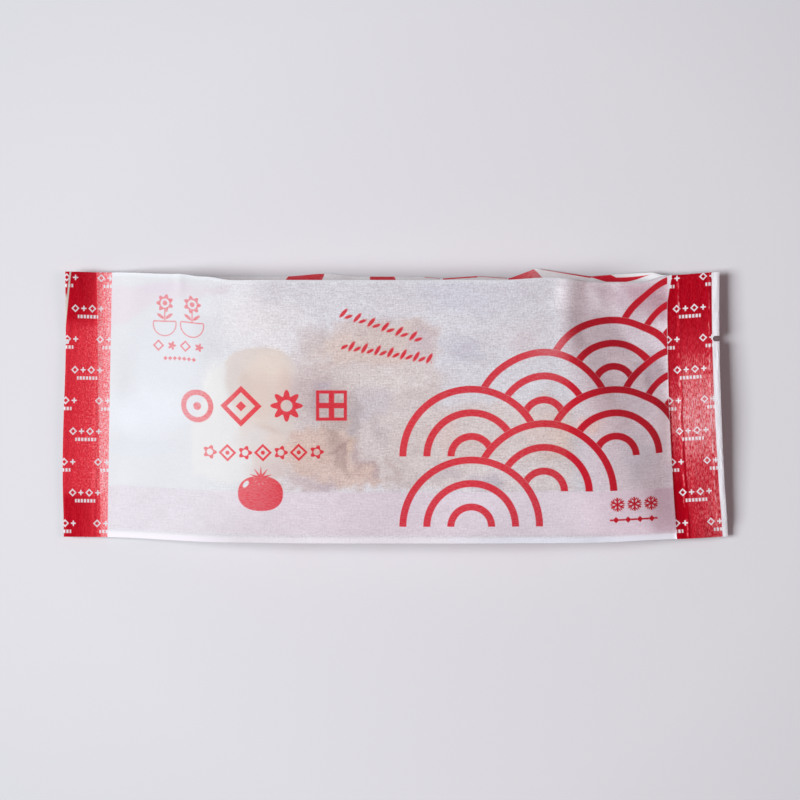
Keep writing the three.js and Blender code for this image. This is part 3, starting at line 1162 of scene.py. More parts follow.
@dataclass
class Cake:
    """The fish-shaped waffle cake, lying on its side in the pack with its head to the right."""

    tail_x: float = -72.5
    head_x: float = 69.0
    middle_z: float = 11.9
    rim: float = 1.4  # the thin flange where the two halves of the iron meet
    columns: int = 190
    rows: int = 132
    fork_depth: float = 6.5  # of the notch in the tail
    floor_gap: float = 0.4  # between the film's back panel and the crust, at least
    top_gap: float = 0.7
    weld_distance: float = 0.00002  # in metres
    crisp_deg: float = 50.0  # edges sharper than this stay crisp

    def upper(self, x: np.ndarray) -> np.ndarray:
        """Y of the back's outline."""
        knots = (
            (self.tail_x, 15.0), (-66, 21.0), (-58, 19.0), (-48, 10.0), (-40, 7.5), (-30, 13.0), (-18, 24.0),
            (-5, 30.5), (10, 32.0), (28, 30.5), (45, 24.5), (58, 15.5), (66, 6.5), (self.head_x, -1.0),
        )
        return curve_through(knots, x)

    def lower(self, x: np.ndarray) -> np.ndarray:
        """Y of the belly's outline."""
        knots = (
            (self.tail_x, -22.0), (-66, -28.0), (-58, -26.0), (-48, -17.0), (-40, -14.5), (-30, -20.0),
            (-15, -28.5), (5, -33.0), (25, -32.5), (42, -27.0), (56, -18.5), (65, -9.0),
            (self.head_x, -1.2),
        )
        return curve_through(knots, x)

    def half_thickness(self, x: np.ndarray) -> np.ndarray:
        """Half the thickness along the middle."""
        knots = (
            (self.tail_x, 2.4), (-66, 4.2), (-50, 6.8), (-38, 8.2), (-20, 10.2), (0, 10.9), (38, 10.9),
            (56, 9.6), (65, 6.6), (self.head_x, 2.0),
        )
        return curve_through(knots, x)

    def scales(self, x: np.ndarray, y: np.ndarray) -> np.ndarray:
        """The grooves between the body's overlapping scales.

        Args:
            x, y: Places along and across the pack.

        Returns:
            1 on a groove's middle, and 0 away from it.
        """
        radius = 5.2
        pitch = radius / 1.7
        groove = np.zeros_like(x)
        covered = np.zeros_like(x, dtype=bool)
        first = np.floor((x - radius) / pitch)
        for step in range(5):
            column = first + step
            centre_x = column * pitch
            shift = (column % 2) * radius
            dy = (y - shift + radius) % (2 * radius) - radius
            distance = np.hypot(x - centre_x, dy)
            fresh = (distance < radius) & ~covered
            groove = np.where(fresh, bump(distance, radius - 0.5, 0.65), groove)
            covered |= distance < radius
        return groove

    def relief(self, x: np.ndarray, y: np.ndarray) -> np.ndarray:
        """What the iron presses into each side: scales, gill, eye, mouth and fin rays.

        Args:
            x, y: Places along and across the pack.

        Returns:
            Heights to add, in millimetres.
        """
        body = ease((x + 34) / 10) * ease((36 - x) / 4)
        edge = np.minimum(self.upper(x) - y, y - self.lower(x))
        grooves = -0.9 * self.scales(x, y) * body * ease((edge - 6) / 4)
        gill = -1.1 * bump(np.hypot(x - 12, y + 1), 27.5, 1.0) * ease((x - 20) / 6)
        gill = gill * ease((20 - np.abs(y)) / 6)
        eye_distance = np.hypot(x - 50, y - 8)
        eye = 0.9 * bump(eye_distance, 0, 2.2) - 0.8 * bump(eye_distance, 4.0, 0.8)
        mouth = -1.0 * bump(y + 5 + (x - 66) * 0.35, 0, 0.9) * ease((x - 56) / 5)
        tail = ease((-46 - x) / 8)
        tail_rays = 0.55 * np.cos((y + 4) * (1.5 + (x + 72) * 0.02)) * tail
        fin_angle = np.arctan2(y + 4, x - 26)
        fin_reach = np.hypot(x - 26, y + 4)
        fan = ease((0.55 - np.abs(np.abs(fin_angle) - 2.75)) / 0.2)
        fin = ease((18 - fin_reach) / 3) * ease((fin_reach - 3) / 3) * fan
        side_fin = (0.9 + 0.5 * np.cos(fin_angle * 24)) * fin
        back_rays = 0.5 * np.cos(x * 1.15 + y * 0.5) * ease((y - self.upper(x) + 8) / 3) * ease((x + 22) / 6)
        return grooves + gill + eye + mouth + tail_rays + side_fin + back_rays * ease((40 - x) / 6)

    def build(self, form: FilmForm, shift: Vector) -> bpy.types.Object:
        """Models the cake as one closed shell of ring sections.

        Args:
            form: The film's form, which the cake stays inside.
            shift: From the pack's own millimetres to the frame's.

        Returns:
            The cake's object.
        """
        made = new_grid("cake", self.columns, self.rows)
        column, row = grid_indices(made.data, self.columns, self.rows)
        along = 0.5 - 0.5 * np.cos(math.pi * column / self.columns)
        x = mix(self.tail_x, self.head_x, mix(along, column / self.columns, 0.5))
        turn = 2 * math.pi * row / self.rows
        across = np.sin(turn) * (1 - 0.12 * np.sin(turn) ** 2) / 0.88
        upper, lower = self.upper(x), self.lower(x)
        y = mix(lower, upper, (across + 1) / 2)
        dome = np.clip(1 - np.abs(across) ** 4, 0, 1) ** 0.55
        side = np.sign(np.cos(turn))
        fork = self.fork_depth * bump(y, -4, 8) * ease((-58 - x) / 14)
        cap = np.sqrt(np.clip(1 - (1 - np.clip((x - self.tail_x) / 3.0, 0, 1)) ** 2, 0, 1))
        relief = self.relief(x, y) * dome
        z = self.middle_z + side * (self.half_thickness(x) * dome + relief) * cap
        flange = bump(np.abs(across), 1.0, 0.05) * self.rim
        y = y + np.sign(across) * flange * cap
        share = (y - form.south_crease(x)) / (form.north_crease(x) - form.south_crease(x))
        lowest = form.back_height(x, y) + self.floor_gap
        highest = form.front_height(x, y, share) - self.top_gap
        tone = np.clip(0.45 + relief * 0.35 + 0.25 * ripples(x, y, 11, 12, 14, 60), 0, 1)
        place_vertices(made.data, x + fork, y, np.clip(z, lowest, highest), shift)
        store(made.data, CRUST_TONE, tone)
        weld(made, self.weld_distance)
        smooth(made, self.crisp_deg)
        made.data.materials.append(CrustFinish().dress("browned_crust"))
        return made


# ---------------------------------------------------------------- the film


class Region(IntEnum):
    """The film's printed regions, in the order of its material slots."""

    PLAIN = 0
    EMBLEM = 1
    TITLE = 2
    SLANTED = 3
    TOMATO = 4
    WAVES = 5
    COLD = 6
    LEFT_BAND = 7
    RIGHT_BAND = 8
    GUSSET = 9


class Panel(IntEnum):
    """The tube's panels, in the order in which the rows of vertices go round it."""

    FRONT = 0
    NORTH_UPPER = 1
    NORTH_LOWER = 2
    BACK = 3
    SOUTH_LOWER = 4
    SOUTH_UPPER = 5


@dataclass(frozen=True)
class Patch:
    """An oval in which the film takes a tone, because of what lies under it."""

    centre: tuple[float, float]
    size: tuple[float, float]
    tone: Colour
    strength: float = 1.0
    turn_deg: float = 0.0
    soft: float = 1.25  # the share of its size over which its edge fades

    def weight(self, x: np.ndarray, y: np.ndarray) -> np.ndarray:
        """How strongly the tone holds at each place.

        Args:
            x, y: Places along and across the pack.

        Returns:
            Strengths from 0 to 1.
        """
        cos, sin = math.cos(math.radians(self.turn_deg)), math.sin(math.radians(self.turn_deg))
        dx, dy = x - self.centre[0], y - self.centre[1]
        reach = np.hypot((dx * cos + dy * sin) / self.size[0], (dy * cos - dx * sin) / self.size[1])
        return self.strength * ease((1 + self.soft / 2 - reach) / self.soft)


@dataclass(frozen=True)
class Area:
    """A straight-sided outline in which the film takes a tone."""

    corners: tuple[tuple[float, float], ...]
    tone: Colour
    strength: float = 1.0
    soft: float = 2.0  # how wide its edge fades, in millimetres

    def weight(self, x: np.ndarray, y: np.ndarray) -> np.ndarray:
        """How strongly the tone holds at each place.

        Args:
            x, y: Places along and across the pack.

        Returns:
            Strengths from 0 to 1.
        """
        nearest = np.full(x.shape, 1e9)
        inside = np.zeros(x.shape, dtype=bool)
        for (ax, ay), (bx, by) in zip(self.corners, self.corners[1:] + self.corners[:1]):
            edge_x, edge_y = bx - ax, by - ay
            share = ((x - ax) * edge_x + (y - ay) * edge_y) / (edge_x**2 + edge_y**2)
            share = np.clip(share, 0, 1)
            nearest = np.minimum(nearest, np.hypot(x - ax - edge_x * share, y - ay - edge_y * share))
            if ay != by:
                crossing = ax + (y - ay) / edge_y * edge_x
                inside ^= ((ay > y) != (by > y)) & (x < crossing)
        return self.strength * ease(0.5 - np.where(inside, -nearest, nearest) / self.soft)


# painted blue-grey shade along the folds of the empty left end, and the far gusset's pink under its corner
LEFT_FOLDS = (
    Patch((-85.7, 21.0), (23.2, 14.2), (0.85, 0.848, 0.858), 0.9),
    Patch((-68.1, 27.8), (6.4, 9.7), (0.8, 0.775, 0.785), 0.9),
    Patch((-70.7, 37.5), (4.5, 3.4), (0.9, 0.88, 0.895), 0.8),
    Patch((-95.8, -2.2), (17.2, 8.2), (0.905, 0.905, 0.925)),
    Patch((-97.3, -15.7), (12.7, 3.4), (0.842, 0.846, 0.862)),
    Patch((-83.8, -23.9), (26.2, 5.2), (0.866, 0.852, 0.861), 0.8),
    Area((
        (-111.6, 46.1), (-60.6, 45.4), (-62.9, 42.0), (-72.6, 41.2), (-79.4, 40.5), (-85.3, 39.4),
        (-92.1, 37.5), (-97.3, 34.5), (-102.6, 31.1), (-111.6, 30.0)
    ), (0.872, 0.792, 0.823), 1.0, 2.6),
    Patch((-87.6, 44.6), (9.7, 2.6), (0.858, 0.772, 0.815), 0.8),
)
# pale film above the tail, and the cream tone beside it
ROUND_TAIL = (
    Patch((-49.4, 31.5), (15.7, 9.7), (0.978, 0.925, 0.915)),
    Patch((-46.4, 42.7), (6.7, 5.2), (0.888, 0.842, 0.862), 0.9),
    Area((
        (-63.6, 16.9), (-67.4, 14.3), (-69.6, 9.8), (-70.7, 5.3), (-74.1, -1.5), (-76.4, -12.7),
        (-75.6, -25.8), (-63.2, -29.2), (-48.6, -27.7), (-55.4, -12.7), (-59.9, -3.3), (-62.1, 6.0)
    ), (0.92, 0.886, 0.853), 0.95, 2.6),
    Patch((-67.0, 6.8), (3.7, 9.4), (0.965, 0.932, 0.893), 0.9),
)
# the shaded hollow round the cake's waist
HOLLOW = (
    Patch((-30.7, 21.0), (7.5, 8.2), (0.835, 0.725, 0.7)),
    Area((
        (-38.2, 12.8), (-30.7, 20.3), (-18.3, 15.0), (13.5, 15.0), (17.3, 2.3), (11.7, -32.2),
        (-40.4, -32.2), (-41.9, -8.9)
    ), (0.88, 0.765, 0.735), 1.0, 5.2),
)
# the tail fan
TAIL = (
    Area((
        (-63.2, 15.8), (-61.7, 18.4), (-58.8, 20.5), (-54.6, 21.4), (-49.4, 21.8), (-44.1, 21.0),
        (-39.3, 19.1), (-36.3, 14.3), (-35.2, 2.3), (-37.4, -8.2), (-40.4, -14.9), (-41.2, -26.2),
        (-47.1, -28.4), (-51.3, -23.9), (-55.8, -13.4), (-59.5, -3.0), (-62.5, 6.8)
    ), (0.9, 0.785, 0.715), 1.0, 1.3),
    Patch((-59.9, 9.0), (7.5, 3.0), (0.852, 0.762, 0.702), 1.0, -87.1, 1.0),
    Patch((-46.8, 13.9), (7.1, 6.4), (0.975, 0.822, 0.715)),
    Patch((-50.9, 3.0), (7.1, 9.0), (0.885, 0.715, 0.62)),
    Patch((-40.8, 5.3), (3.7, 7.5), (0.905, 0.7, 0.61)),
    Patch((-55.4, 7.5), (5.4, 2.2), (0.85, 0.69, 0.605), 0.8, -77.9, 1.0),
    Patch((-52.4, -12.7), (6.4, 5.6), (0.882, 0.8, 0.755)),
    Patch((-44.1, -13.1), (3.4, 3.0), (0.945, 0.79, 0.71)),
    Patch((-46.4, -8.4), (4.8, 1.3), (0.84, 0.68, 0.6), 0.8, -20.6, 1.0),
    Patch((-45.6, -23.9), (7.5, 3.7), (0.855, 0.715, 0.67), 0.9),
)
# the fin along the cake's back
BACK_FIN = (
    Area((
        (-28.8, 20.3), (-26.9, 24.0), (-22.1, 27.4), (-15.7, 30.0), (-7.1, 31.9), (2.3, 32.6),
        (9.8, 31.1), (15.0, 27.8), (16.5, 21.0), (14.3, 16.1), (4.2, 14.3), (-12.7, 14.6),
        (-23.9, 14.3), (-28.4, 16.5)
    ), (0.925, 0.775, 0.71), 1.0, 6.5),
    Patch((-15.7, 20.6), (6.7, 4.5), (0.96, 0.79, 0.705), 0.9),
    Patch((-0.7, 18.4), (6.7, 3.0), (0.95, 0.775, 0.7), 0.9),
    Patch((10.2, 22.9), (4.9, 5.6), (0.855, 0.722, 0.735), 0.9),
    Patch((-16.4, 28.1), (6.0, 2.2), (0.94, 0.81, 0.775), 0.8),
)
# the body: browned crust, its grooves, and the shade under its edge
CRUST = (
    Patch((-3.3, 9.4), (19.5, 4.9), (0.95, 0.84, 0.8)),
    Patch((4.9, 3.2), (7.9, 1.9), (0.855, 0.735, 0.7), 0.9, 4.1, 1.0),
    Patch((-30.7, 4.5), (9.0, 9.0), (0.77, 0.63, 0.61)),
    Patch((-25.8, 6.4), (2.2, 3.0), (0.7, 0.6, 0.64), 0.8),
    Patch((-29.2, 0.8), (2.6, 4.1), (0.64, 0.5, 0.52), 0.9),
    Patch((-20.2, -4.1), (6.0, 7.5), (0.755, 0.6, 0.55), 0.9),
    Patch((-8.9, 1.2), (6.4, 5.2), (0.78, 0.7, 0.72), 0.9),
    Area((
        (-40.8, -12.7), (-35.2, -8.9), (-25.8, -8.2), (-18.3, -9.7), (-14.9, -16.4), (-11.2, -23.9),
        (-3.7, -30.3), (-20.9, -31.0), (-28.4, -28.0), (-35.2, -24.7), (-41.9, -20.2)
    ), (0.895, 0.68, 0.59), 1.0, 3.0),
    Patch((-34.4, -16.4), (6.0, 4.5), (0.945, 0.72, 0.61), 0.9),
    Patch((-26.9, -25.4), (5.2, 2.2), (0.92, 0.7, 0.61), 0.8),
    Patch((-15.3, -4.8), (8.6, 2.6), (0.68, 0.58, 0.575), 1.0, -87.5, 1.0),
    Patch((-21.1, -16.4), (8.3, 3.0), (0.68, 0.495, 0.44), 0.95, -64.6, 1.0),
    Patch((-10.1, -21.3), (7.9, 1.9), (0.69, 0.52, 0.5), 0.95, -64.7, 1.0),
    Patch((-5.4, -8.4), (7.1, 1.9), (0.765, 0.66, 0.65), 0.9, -79.3, 1.0),
    Patch((-8.8, -11.9), (5.4, 1.7), (0.865, 0.75, 0.73), 0.9, -76.0, 1.0),
    Patch((-15.7, -15.3), (2.2, 3.0), (0.83, 0.61, 0.5), 0.9),
    Patch((-11.9, -22.4), (1.5, 2.6), (0.84, 0.62, 0.53), 0.8),
    Patch((-0.9, -22.8), (6.0, 1.9), (0.78, 0.63, 0.59), 0.8, -69.9, 1.0),
    Patch((1.5, -12.7), (3.7, 7.5), (0.885, 0.755, 0.72), 0.9),
    Patch((-8.2, -29.2), (4.5, 1.5), (0.87, 0.68, 0.61), 0.8),
    Patch((-21.3, -17.2), (4.1, 1.0), (0.6, 0.42, 0.38), 0.9, 33.7, 1.0),
    Patch((-17.6, -20.2), (5.7, 1.0), (0.6, 0.42, 0.38), 0.8, -66.8, 1.0),
    Patch((-30.7, -29.2), (8.2, 3.0), (0.785, 0.64, 0.635)),
    Patch((-26.2, -31.0), (3.4, 1.9), (0.73, 0.6, 0.63), 0.8),
    Patch((-30.5, 16.5), (4.7, 1.2), (0.9, 0.8, 0.78), 1.0, 9.1, 1.0),
)
# the head end, and the shade below its jaw; past the ridge its tones also hold the slope's painted light
HEAD = (
    Area((
        (12.8, -0.7), (28.5, 3.0), (47.2, -0.7), (59.2, 6.8), (68.2, -3.3), (70.4, -16.4),
        (64.5, -32.2), (13.5, -32.2), (6.8, -23.9)
    ), (0.955, 0.84, 0.805), 1.0, 5.2),
    Patch((19.1, -11.2), (4.1, 7.5), (0.958, 0.785, 0.735)),
    Patch((31.9, -16.4), (9.7, 4.5), (0.89, 0.745, 0.7)),
    Patch((41.6, -10.4), (5.2, 3.7), (0.905, 0.785, 0.765), 0.8),
    Patch((57.7, -8.9), (9.0, 9.0), (1.03, 0.865, 0.8)),
    Patch((62.2, -11.2), (4.5, 5.2), (1.1, 0.885, 0.785), 0.8),
    Patch((60.7, -17.9), (5.2, 1.5), (0.985, 0.79, 0.715), 0.9),
    Patch((73.4, -8.2), (4.9, 3.0), (1.27, 0.94, 0.865)),
    Patch((54.7, -26.2), (12.0, 4.5), (1.06, 0.957, 0.93), 0.9),
    Patch((39.7, -23.9), (8.2, 3.4), (0.94, 0.86, 0.855), 0.9),
    Patch((19.9, -25.4), (6.7, 3.7), (0.81, 0.7, 0.7), 0.9),
    Patch((33.7, -29.5), (6.7, 3.0), (0.79, 0.71, 0.745)),
    Patch((36.0, -29.9), (3.0, 1.7), (0.72, 0.65, 0.69), 0.8),
    Patch((9.8, -12.7), (3.7, 6.0), (0.9, 0.76, 0.71), 0.8),
)
# painted shade in the hollow above the head, lighter in places
OVER_HEAD = (
    Patch((24.8, 41.2), (18.0, 6.7), (0.885, 0.86, 0.915)),
    Patch((47.2, 42.7), (12.0, 6.0), (0.935, 0.905, 0.945), 0.9),
    Patch((1.5, 37.5), (10.5, 5.2), (1.0, 0.955, 0.978), 0.9),
    Patch((26.6, 21.8), (9.0, 5.6), (0.85, 0.818, 0.875)),
    Patch((33.7, 11.3), (7.5, 3.4), (1.0, 0.97, 1.0)),
    Patch((39.7, 25.9), (6.0, 4.1), (0.99, 0.94, 0.962), 0.9),
    Patch((48.7, 22.9), (5.2, 6.0), (0.96, 0.87, 0.885), 0.9),
    Patch((57.0, 25.5), (3.7, 7.5), (0.93, 0.885, 0.905), 0.9),
)
# painted light that brightens the shaded slope down to the right band, and the near gusset's pink in its
# corner
SLOPE_LIGHT_AND_PINK = (
    Patch((64.8, 41.2), (4.5, 6.4), (1.3, 1.24, 1.26), 0.9),
    Patch((67.8, 23.6), (3.4, 5.2), (1.05, 0.88, 0.92), 0.9),
    Patch((77.9, 1.5), (6.4, 6.0), (1.13, 0.945, 0.97)),
    Patch((85.4, 15.0), (5.2, 4.5), (1.5, 1.34, 1.39)),
    Patch((89.2, 8.3), (4.5, 3.7), (1.4, 1.25, 1.29), 0.9),
    Patch((83.2, -8.9), (6.0, 6.7), (1.18, 1.0, 1.03), 0.9),
    Patch((77.2, -23.2), (6.7, 6.7), (1.17, 1.03, 1.09), 0.9),
    Patch((98.9, -8.9), (4.5, 12.7), (1.44, 1.31, 1.36)),
    Patch((102.6, -8.0), (2.8, 13.5), (1.62, 1.52, 1.56)),
    Patch((92.5, -20.0), (7.0, 8.0), (1.17, 1.10, 1.15), 0.9),
    Patch((81.5, 41.0), (15.0, 5.5), (1.50, 1.40, 1.44), 0.85),
    Patch((98.2, 13.5), (4.9, 6.4), (0.9, 0.75, 0.8)),
    Area((
        (72.7, 45.7), (107.2, 47.2), (107.2, 31.5), (95.9, 31.5), (87.7, 33.0), (81.7, 39.7)
    ), (1.13, 0.93, 1.0), 0.9, 5.2),
    Area((
        (87.7, 45.4), (107.2, 47.2), (107.2, 33.0), (97.8, 33.0), (92.2, 36.7)
    ), (1.03, 0.75, 0.83), 1.0, 4.5),
    Patch((100.4, 39.0), (4.5, 5.2), (0.88, 0.585, 0.66)),
)
# the front panel's tone along the pack, before anything shows through it: painted shade on the left ramp,
# which faces the light, and painted light on the shaded slope at the right end
FILM_LIGHT_AND_SHADE = (
    (-106.3, (0.856, 0.85, 0.852)), (-76.4, (0.856, 0.85, 0.852)), (-53.9, (0.955, 0.92, 0.925)),
    (-35.2, (0.972, 0.94, 0.965)), (59.2, (0.97, 0.94, 0.965)), (64.5, (1.11, 1.035, 1.065)),
    (70.4, (1.27, 1.13, 1.17)), (79.1, (1.30, 1.17, 1.22)), (92.2, (1.27, 1.16, 1.22)),
    (102.7, (1.31, 1.18, 1.25)),
)
# the same over the south gusset, whose red print warms it, with painted light that brightens it towards the
# shaded right end
HEM_PRINT_AND_LIGHT = (
    (-106.3, (0.84, 0.768, 0.802)), (-72.6, (0.85, 0.775, 0.81)), (-53.9, (0.94, 0.842, 0.879)),
    (-35.2, (0.995, 0.88, 0.925)), (-16.4, (0.97, 0.835, 0.885)), (6.0, (1.0, 0.868, 0.925)),
    (39.7, (1.055, 0.94, 1.0)), (62.2, (1.1, 0.98, 1.04)), (77.2, (1.21, 1.045, 1.13)),
    (94.0, (1.42, 1.22, 1.32)), (101.2, (1.16, 0.9, 1.0)), (105.7, (1.1, 0.84, 0.94)),
)


@dataclass(frozen=True)
class ShowThroughAndLight:
    """How the thin film's tone changes over what lies under it, with painted light and shade on its slopes
    and creases, in the pack's own millimetres.
    """

    film: tuple[tuple[float, Colour], ...] = FILM_LIGHT_AND_SHADE
    hem: tuple[tuple[float, Colour], ...] = HEM_PRINT_AND_LIGHT
    crisp: tuple[Patch | Area, ...] = LEFT_FOLDS + ROUND_TAIL
    under_tail: tuple[Patch | Area, ...] = HOLLOW
    tail: tuple[Patch | Area, ...] = TAIL
    ragged: tuple[Patch | Area, ...] = BACK_FIN + CRUST + HEAD + OVER_HEAD + SLOPE_LIGHT_AND_PINK
    hem_width: tuple[float, float] = (2.2, 20.4)  # the south gusset, from the south crease
    # how far the tones along the pack lean, by the place across it
    slant: Knots = ((-42.6, 15.0), (-27.7, 11.0), (-12.7, 7.3), (6.0, 3.5), (24.0, 1.0), (38.0, 0.0))
    left_crease_highlight: Colour = (1.23, 1.145, 1.18)  # a painted highlight along the south crease, left and right
    right_crease_highlight: Colour = (1.33, 1.365, 1.44)
    # a painted highlight along the north crease
    north_crease_highlight: Colour = (1.06, 1.08, 1.07)

    @staticmethod
    def along(knots: tuple[tuple[float, Colour], ...], x: np.ndarray) -> np.ndarray:
        """A tone that changes along the pack.

        Args:
            knots: Pairs of a place and its tone.
            x: Places.

        Returns:
            The tones, one row for each place.
        """
        parts = [line_through([(at, tone[part]) for at, tone in knots], x) for part in range(3)]
        return np.stack(parts, axis=1)

    def hem_share(self, south: np.ndarray) -> np.ndarray:
        """1 over the south gusset, by the distance from the south crease."""
        return ease((south - self.hem_width[0]) / 1.2) * ease((self.hem_width[1] - south) / 1.2)

    def tones(self, x: np.ndarray, y: np.ndarray, south: np.ndarray, north: np.ndarray) -> np.ndarray:
        """The front panel's tone, with its painted light and shade.

        Args:
            x, y: Places along and across the pack.
            south, north: Distances from the two creases.

        Returns:
            Red, green and blue factors on the bare film, one row for each place.
        """
        places, shifts = [knot[0] for knot in self.slant], [knot[1] for knot in self.slant]
        tone = self.along(self.film, x - np.interp(y, places, shifts))
        fine_x, fine_y = ripples(x, y, 31, 18, 3.5, 11), ripples(x, y, 37, 18, 3.5, 11)
        wide_x, wide_y = ripples(x, y, 41, 12, 12, 34), ripples(x, y, 43, 12, 12, 34)
        # the shapes, and how far fine and wide ripples bend their edges
        layers = (
            (self.crisp, 0.5, 0.5), (self.under_tail, 1.2, 1.5), (self.tail, 0.25, 0.25),
            (self.ragged, 1.15, 1.2),
        )
        for shapes, fine, wide in layers:
            at_x = x + fine * fine_x + wide * wide_x
            at_y = y + fine * fine_y * 0.8 + wide * wide_y * 0.8
            for shape in shapes:
                tone = mix(tone, np.array(shape.tone), shape.weight(at_x, at_y)[:, None])
        hem = self.along(self.hem, x) * (1 + 0.012 * ripples(x * 0.35, y, 47, 14, 1.6, 6))[:, None]
        tone = mix(tone, hem, self.hem_share(south)[:, None])
        # painted highlights along the south and north creases
        rim = mix(np.array(self.left_crease_highlight), np.array(self.right_crease_highlight), ease((x - 5) / 50)[:, None])
        tone = mix(tone, tone[:, 1:2] * rim, ease(2.6 - south)[:, None])
        return tone * mix(1.0, np.array(self.north_crease_highlight), ease(2.0 - north)[:, None])

    def mottle(self, x: np.ndarray, y: np.ndarray, south: np.ndarray) -> np.ndarray:
        """How unevenly light comes through the film: hardly where it is empty, most over hollows.

        Args:
            x, y: Places along and across the pack.
            south: Distances from the south crease.

        Returns:
            Strengths from 0 to 1.
        """
        knots = (
            (-106.0, 0.12), (-78.0, 0.14), (-60.0, 0.62), (-40.0, 0.92), (-20.0, 1.0), (60.0, 1.0),
            (76.0, 0.8), (104.0, 0.8),
        )
        strength = line_through(knots, x)
        strength = strength * (1 - 0.72 * self.tail[0].weight(x, y))
        strength = strength * (1 - 0.75 * ROUND_TAIL[2].weight(x, y))
        strength = mix(strength, np.maximum(0.42, strength * 0.62), self.hem_share(south))
        return strength * (1 - 0.7 * ease(2.6 - south))


@dataclass(frozen=True)
class EdgeCut:
    """A small cut in an end band's outer edge."""

    middle: float  # as a share of the front panel's width, as the next one
    half: float
    depth: float  # in millimetres
    steps: tuple[float, ...] = (-1.0, -0.93, -0.5, 0.0, 0.5, 0.93, 1.0)

    def rows(self) -> set[float]:
        """The rows of vertices that the cut needs, as shares of the front panel's width."""
        return {self.middle + self.half * step for step in self.steps}

    def reach(self, across: np.ndarray) -> np.ndarray:
        """How far the cut draws the edge back at each share of the width."""
        off = np.abs(across - self.middle) / self.half
        return self.depth * np.clip((1.0 - off) / 0.07, 0, 1) * (1.0 - 0.25 * np.minimum(off, 1.0) ** 2)


